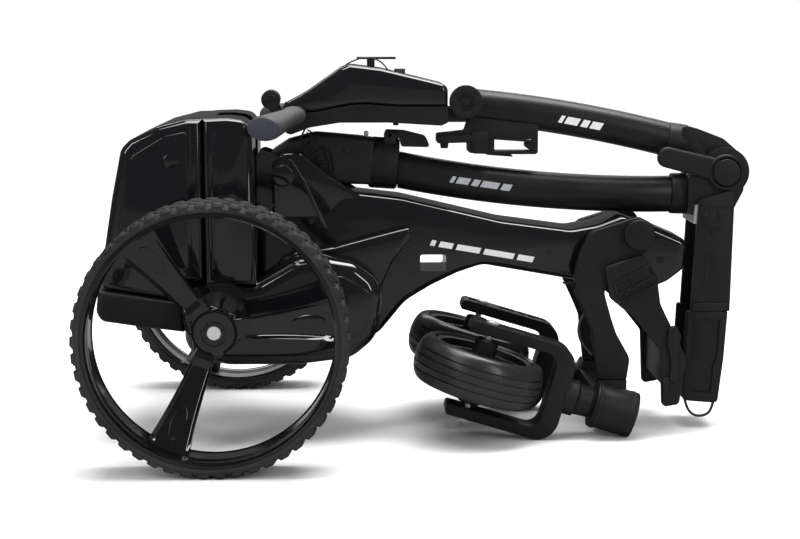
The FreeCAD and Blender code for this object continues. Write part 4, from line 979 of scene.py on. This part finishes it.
# ---- handle and console ------------------------------------------------------------------------------------
def handle():
    """Upper oval tube with a fitting at each end, the castellated tilt knob and the accessory holder."""
    kx, kz = KNUCKLE
    tx, tz = TILT
    wear(bent_tube("handle_tube", "handle_oval_tube"), "tube_black", "handle", "handle_tube")
    stripes("handle_marks", (427, 235), (498, 221.5), 18.9, 9.5, ((5, 3), (17, 4), (9, 3), (14, 0)), "handle")
    wear(sleeve("knuckle_sleeve", place(kx - 72, kz + 38), place(kx - 46, kz + 34), 49, 44), "matte_black",
         "handle",
         slot="matte_black")

    knob = softened("tilt_knob", 1.0, 2)
    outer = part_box("tilt_knob")[0].y / MM
    teeth = []
    for n in range(8):
        turn = n * pi / 4
        tooth = across("tooth", tx + 16 * cos(turn), tz + 16 * sin(turn), outer - 0.2, outer + 8, 4.6,
                       sides=20)
        teeth.append(tooth)
    hollow = across("hollow", tx, tz, outer - 2, outer + 3.2, 11, sides=40, tip=0.2)
    carve(knob, hollow)
    cap = across("cap", tx, tz, outer + 1, outer + 4.4, 6, sides=6, tip=0.8)
    wear(join("tilt_knob_wheel", smooth(knob, 30), *teeth, cap), "matte_black", "handle", "tilt_knob")

    holder = softened("accessory_holder", 1.4, 3)
    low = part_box("accessory_holder")[0].y / MM
    roller = across("roller", tx + 84, tz - 56.5, low + 1, -low - 1, 5.5)
    bar = slab("bar", [(tx - 34, tz - 44, 3), (tx + 12, tz - 42, 3), (tx + 12, tz - 52, 3),
                       (tx - 34, tz - 52, 3)],
               low - 3, low + 1)
    jaw = slab("jaw", [(tx + 8, tz - 38, 2), (tx + 30, tz - 38, 2), (tx + 30, tz - 67, 3),
                       (tx + 10, tz - 67, 3)],
               low - 4, low + 1)
    blade = slab("blade", [(tx + 28, tz - 66, 1), (tx + 62, tz - 70, 1), (tx + 62, tz - 71.5, 1),
                           (tx + 28, tz - 69, 1)], low + 4, -low - 4)
    post = slab("post", [(tx - 31, tz - 53), (tx - 20, tz - 53), (tx - 21, tz - 61, 1),
                         (tx - 30, tz - 61, 1)], -5, 5)
    strap = slab("strap", [(tx + 36, tz - 46, 2), (tx + 92, tz - 50, 2), (tx + 92, tz - 53, 1),
                           (tx + 36, tz - 49, 1)], low - 2, low + 1)
    parts = [soften(part, 0.9, 2) for part in (bar, jaw, blade, post, strap)]
    wear(join("accessory_clamp", holder, roller, *parts), "matte_black", "handle", "accessory_holder")


def console():
    """Glossy humped top over a matte tray, ribbed dial, spring clip, and two soft grips with end caps."""
    tx, tz = TILT
    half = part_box("console_shell")[1].y / MM
    seam = [(tx - 234, tz - 12), (tx - 192, tz - 13, 14), (tx - 147, tz - 4, 20), (tx - 127, tz - 3, 20),
            (tx - 84, tz - 6, 20), (tx - 23, tz - 6)]
    top = seam + [(tx - 23, tz + 21, 10), (tx - 42, tz + 26, 30), (tx - 108, tz + 42, 40),
                  (tx - 148, tz + 47, 14),
                  (tx - 158, tz + 43, 14), (tx - 198, tz + 15, 30), (tx - 211, tz + 7, 30),
                  (tx - 230, tz - 3, 8)]
    shell = slab("console_hood", top, -half + 0.2, half - 0.2)
    for side in (-1, 1):
        round_side(shell, side, 7, 6)
    window = slab("screen", [(tx - 142, tz + 40), (tx - 60, tz + 27), (tx - 60, tz + 40),
                             (tx - 142, tz + 60)],
                  -half + 16, half - 16)
    smooth(shell, 30)
    carve(shell, window)
    screen = slab("screen_glass", [(tx - 141, tz + 36), (tx - 61, tz + 23), (tx - 61, tz + 28.2),
                                   (tx - 141, tz + 41)], -half + 16.6, half - 16.6)
    soften(screen, 0.6, 2)
    wear(join("console_hood", shell, screen), "gloss_black", "console", "console_shell")

    tray = softened("console_tray", 1.2, 3)
    seam_lip = []
    for side in (-1, 1):
        line = [(x, z - 1.6) for x, z, *_ in seam] + [(x, z - 4.2) for x, z, *_ in seam[::-1]]
        seam_lip.append(slab("lip", line, *sorted(((half - 2) * side, (half + 0.8) * side))))
    peg = rod("peg", place(tx - 88, tz - 26), place(tx - 88, tz - 31.5), 3.6)
    wear(join("console_tray_shape", tray, peg, *seam_lip), "matte_black", "console", "console_tray")
    wear(softened("power_button", 0.8, 3), "cap_grey", "button", "power_button")
    wear(softened("grip_bar", 0.4, 2, 50), "tube_black", "console", "grip_bar")

    dx, dz = from_axle("dial_turn")
    radius = (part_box("control_dial")[1].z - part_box("control_dial")[0].z) / 2 / MM
    dial = softened("control_dial", 0.8, 2)
    half_dial = 18
    ribs = [across("rib", dx + (radius - 0.9) * cos(n * pi / 12), dz + (radius - 0.9) * sin(n * pi / 12),
                   -half_dial + 2, half_dial - 2, 1.1, sides=10, tip=0.3) for n in range(24)]
    wear(join("ribbed_dial", dial, *ribs), "matte_black", "dial", "control_dial")

    post = softened("card_clip", 0.7, 2)
    wear(post, "matte_black", "console", "card_clip", slot="matte_black")
    y = -6
    wire = [place(tx - 96, tz + 35, y), place(tx - 104, tz + 51, y), place(tx - 128, tz + 56, y),
            place(tx - 146, tz + 50, y), place(tx - 152, tz + 46, y)]
    bpy.ops.curve.primitive_nurbs_path_add()
    line = bpy.context.object
    spline = line.data.splines[0]
    for point, spot in zip(spline.points, wire):
        point.co = (*spot, 1)
    spline.order_u = 3
    spline.use_endpoint_u = True
    line.data.bevel_depth, line.data.bevel_resolution = 0.9 * MM, 4
    line.data.use_fill_caps = True
    select(line)
    bpy.ops.object.convert(target="MESH")
    bpy.context.object.name = "card_wire"
    wear(smooth(bpy.context.object, 60), "screw_black", "console", slot="clip_steel")
    for side, name in SIDES:
        grip(side, name)


def grip(side, name):
    """A soft grip that thickens towards its end, ringed near the console, and closed by an oval cap."""
    bar_x, bar_z = TILT[0] - 210, TILT[1] - 13
    root = place(bar_x, bar_z, side * 45)
    end = place(bar_x - 40, bar_z - 13, side * 174)
    along = (end - root).normalized()
    start = end - along * 0.112
    turn = along.to_track_quat("Z", "Y").to_matrix().to_4x4()
    flat = Matrix.Translation(start) @ turn
    profile = [(9.2, -2), (12, -1.5), (13.6, 2), (13.8, 6), (13, 8), (13.2, 12), (12.4, 14), (13, 30),
               (15, 60),
               (17, 90), (18, 106), (17.6, 111), (16, 113)]
    body = turned(f"{name}_soft_grip", profile + [(9.2, 113)], steps=56)
    wide = along.cross(Vector((0, 0, 1))).normalized()
    squash = Matrix(((1.22, 0, 0, 0), (0, 0.86, 0, 0), (0, 0, 1, 0), (0, 0, 0, 1)))
    local_wide = (turn.inverted() @ wide.to_4d()).to_3d()
    spin = Matrix.Rotation(atan2(local_wide.y, local_wide.x), 4, "Z")
    body.data.transform(flat @ spin @ squash)
    wear(body, "grip_rubber", "console", f"{name}_grip")
    cap = turned(f"{name}_grip_cap", [(0, 112), (15.6, 112), (16.4, 114), (15.8, 115.6), (13, 116.2),
                                      (0, 116.2)],
                 steps=56)
    cap.data.transform(flat @ spin @ squash)
    if side < 0:
        wear(cap, "cap_grey", "console", "grip_caps")
    else:
        wear(cap, "cap_grey", "console", slot="cap_grey")


# ---- front arm and casters ---------------------------------------------------------------------------------
def front_arm():
    """S-shaped plates with a raised border, the swivel yoke and its bands, and the ribbed bag cradle."""
    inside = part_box("left_arm_plate")[0].y / MM
    for side, name in SIDES:
        arm = softened(f"{name}_arm_plate", 2.4, 4)
        ax, az = ARM
        hook = slab("hook", [(ax - 100, az - 62, 1), (ax - 84, az - 66, 2), (ax - 76, az - 74),
                             (ax - 72, az - 66),
                             (ax - 84, az - 61, 2)], *sorted(((inside + 2) * side, (inside + 8) * side)))
        wear(join(f"{name}_arm_casting", arm, soften(hook, 0.6, 2)), "matte_black", "front_arm",
             f"{name}_arm_plate")

    yoke = softened("caster_yoke", 1.8, 3)
    bands = []
    for side, name in SIDES:
        frame_ = swivel_frame(side)
        radius = 29
        bands.append(turned("band", [(radius - 1, 154), (radius + 1.4, 155), (radius + 1.4, 159),
                                     (radius - 1, 160)], frame_))
        bands.append(turned("end", [(radius - 1, 203), (radius + 0.6, 201), (radius + 0.6, 197),
                                    (radius - 1, 195)],
                            frame_))
    wear(join("swivel_yoke", yoke, *bands), "matte_black", "front_arm", "caster_yoke")
    for side, name in SIDES:
        cradle_wing(side, name)
    wear(softened("bag_cradle", 2, 3), "matte_black", "front_arm", "bag_cradle")


def cradle_wing(side, name):
    """One side of the lower bag rest: a slotted, ribbed blade with a hook on a strap."""
    node = f"{name}_cradle_wing"
    low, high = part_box(node)
    wing = softened(node, 1.6, 3)
    ax, az = ARM
    outer = max(abs(low.y), abs(high.y)) / MM
    face = sorted(((outer - 3) * side, (outer + 2.2) * side))
    frame_ribs = []
    for x0, z0, x1, z1, width in ((ax - 32, az - 62, ax + 14, az - 38, 4),
                                  (ax - 26, az - 76, ax + 20, az - 52, 4),
                                  (ax - 32, az - 62, ax - 26, az - 76, 4),
                                  (ax + 14, az - 38, ax + 21, az - 53, 4),
                                  (ax - 12, az - 52, ax - 6, az - 66, 3),
                                  (ax - 18, az - 69, ax - 14, az - 84, 3),
                                  (ax - 22, az - 84, ax + 24, az - 62, 3)):
        a, b = Vector((x0, z0)), Vector((x1, z1))
        flat = Vector((-(b - a).y, (b - a).x)).normalized() * width / 2
        frame_ribs.append(soften(slab("rib", [a - flat, b - flat, b + flat, a + flat], *face), 0.6, 2))
    hook = slab("hook", [(ax + 38, az - 118, 6), (ax + 48, az - 114, 6), (ax + 54, az - 128, 8),
                         (ax + 50, az - 160, 8), (ax + 52, az - 186, 4), (ax + 40, az - 188, 4),
                         (ax + 42, az - 160, 6), (ax + 36, az - 136, 8)],
                         *sorted(((outer - 4) * side, (outer + 6) * side)))
    soften(hook, 1.6, 3)
    tip = slab("tip", [(ax + 32, az - 182, 2), (ax + 41, az - 180, 2), (ax + 40, az - 204, 4),
                       (ax + 35, az - 210, 3),
                       (ax + 32, az - 202, 3)], *sorted(((outer - 4) * side, (outer + 3) * side)))
    soften(tip, 1.2, 3)
    wear(join(f"{name}_cradle_blade", wing, *frame_ribs, hook, tip), "matte_black", "front_arm", node)


def swivel_frame(side):
    """The frame of a caster: its own z runs up the swivel axis, its y along the wheel axle."""
    name = "right" if side < 0 else "left"
    up, axle = joint_axis[f"{name}_caster_swivel"], joint_axis[f"{name}_caster_spin"]
    turn = Matrix((axle.cross(up), axle, up)).transposed().to_4x4()
    return Matrix.Translation(joint_at[f"{name}_caster_swivel"]) @ turn


CASTER_R, CASTER_HALF = 83, 30


def caster(side, name):
    """Grooved glossy tyre on a dished, ribbed rim, in a fork whose legs carry sunk windows."""
    frame_ = swivel_frame(side)
    on_axle = frame_ @ Matrix.Translation((-6 * MM, 0, 0)) @ Matrix.Rotation(-pi / 2, 4, "X")
    profile = [(62, -CASTER_HALF + 4), (66, -CASTER_HALF), (71, -CASTER_HALF + 1.5)]
    steps = 9
    for n in range(steps + 1):
        share = n / steps
        bend = pi * (0.12 + 0.76 * share)
        profile.append((69 + 14 * sin(bend), -cos(bend) * (CASTER_HALF - 1)))
    profile += [(71, CASTER_HALF - 1.5), (66, CASTER_HALF), (62, CASTER_HALF - 4)]
    tyre = turned(f"{name}_caster_tread", profile, steps=96)
    modify(tyre, "SUBSURF", levels=1, render_levels=1)
    cuts = []
    for height, radius in ((-14, 81), (-5, 82.8), (5, 82.8), (14, 81)):
        cuts.append(turned("groove", [(radius - 1.7, height - 0.9), (radius + 3, height - 1.5),
                                      (radius + 3, height + 1.5), (radius - 1.7, height + 0.9)], steps=96))
    carve(tyre, *cuts)
    tyre.data.transform(on_axle)
    wear(smooth(tyre, 30), "caster_rubber", f"{name}_caster_wheel", f"{name}_caster_tyre")

    rim = turned("rim", [(4.2, -42), (13, -42), (15, -40), (15.5, -16), (20, -11), (44, -8), (54, -12),
                         (56, -25),
                         (62, -26), (62, 26), (56, 25), (54, 12), (44, 8), (20, 11), (15.5, 16), (15, 40),
                         (13, 42),
                         (4.2, 42)], steps=72)
    ribs = []
    for n in range(5):
        for face in (-1, 1):
            bpy.ops.mesh.primitive_cube_add(size=1)
            rib = settle(bpy.context.object)
            for vertex in rib.data.vertices:
                share = vertex.co.x + 0.5
                depth = (24 - 6 * share) if vertex.co.z > 0 else 6
                vertex.co = ((14 + 43 * share) * MM, vertex.co.y * (7 + 5 * share) * MM, face * depth * MM)
            outward(rib)
            rib.data.transform(Matrix.Rotation(n * 2 * pi / 5, 4, "Z"))
            ribs.append(soften(rib, 1.4, 2))
    rim = join(f"{name}_caster_wheel_rim", rim, *ribs)
    rim.data.transform(on_axle)
    wear(smooth(rim, 30), "matte_black", f"{name}_caster_wheel", f"{name}_caster_rim")

    fork = softened(f"{name}_caster_fork", 2.2, 4)
    wells = []
    outside = 62
    for leg in (-1, 1):
        for low, high in ((-18, 8), (24, 46), (52, 60), (66, 90)):
            bpy.ops.mesh.primitive_cube_add(size=1, location=(0, leg * (outside + 0.5) * MM,
                                                              (low + high) / 2 * MM),
                                            scale=(20 * MM, 6 * MM, (high - low) * MM))
            well = modify(settle(bpy.context.object), "BEVEL", width=2 * MM, segments=3)
            well.data.transform(frame_)
            wells.append(well)
    carve(fork, *wells)
    collar = turned("collar", [(17, 112), (22, 113), (23, 118), (23, 128), (20, 131), (19, 148), (17, 150)],
                    frame_)
    wear(join(f"{name}_caster_fork_casting", smooth(fork, 30), collar), "matte_black", f"{name}_caster",
         f"{name}_caster_fork")
    wear(softened(f"{name}_caster_bolt", 0.9, 2), "axle_steel", f"{name}_caster", f"{name}_caster_bolt")


# ---- putting it together -----------------------------------------------------------------------------------
camera()
studio()
for side, name in SIDES:
    rear_wheel(side, name)
    hull_half(side, name)
    pod(side, name)
gearboxes()
drive_housing()
battery()
pivot_caps()
beam_marks()
mast()
knuckle()
bag_bracket()
cords()
handle()
console()
front_arm()
for side, name in SIDES:
    caster(side, name)

for node, obj in nodes.items():
    if not obj.hide_render:
        obj.data.materials.clear()
        obj.data.materials.append(FINISH[slot_of[node]])
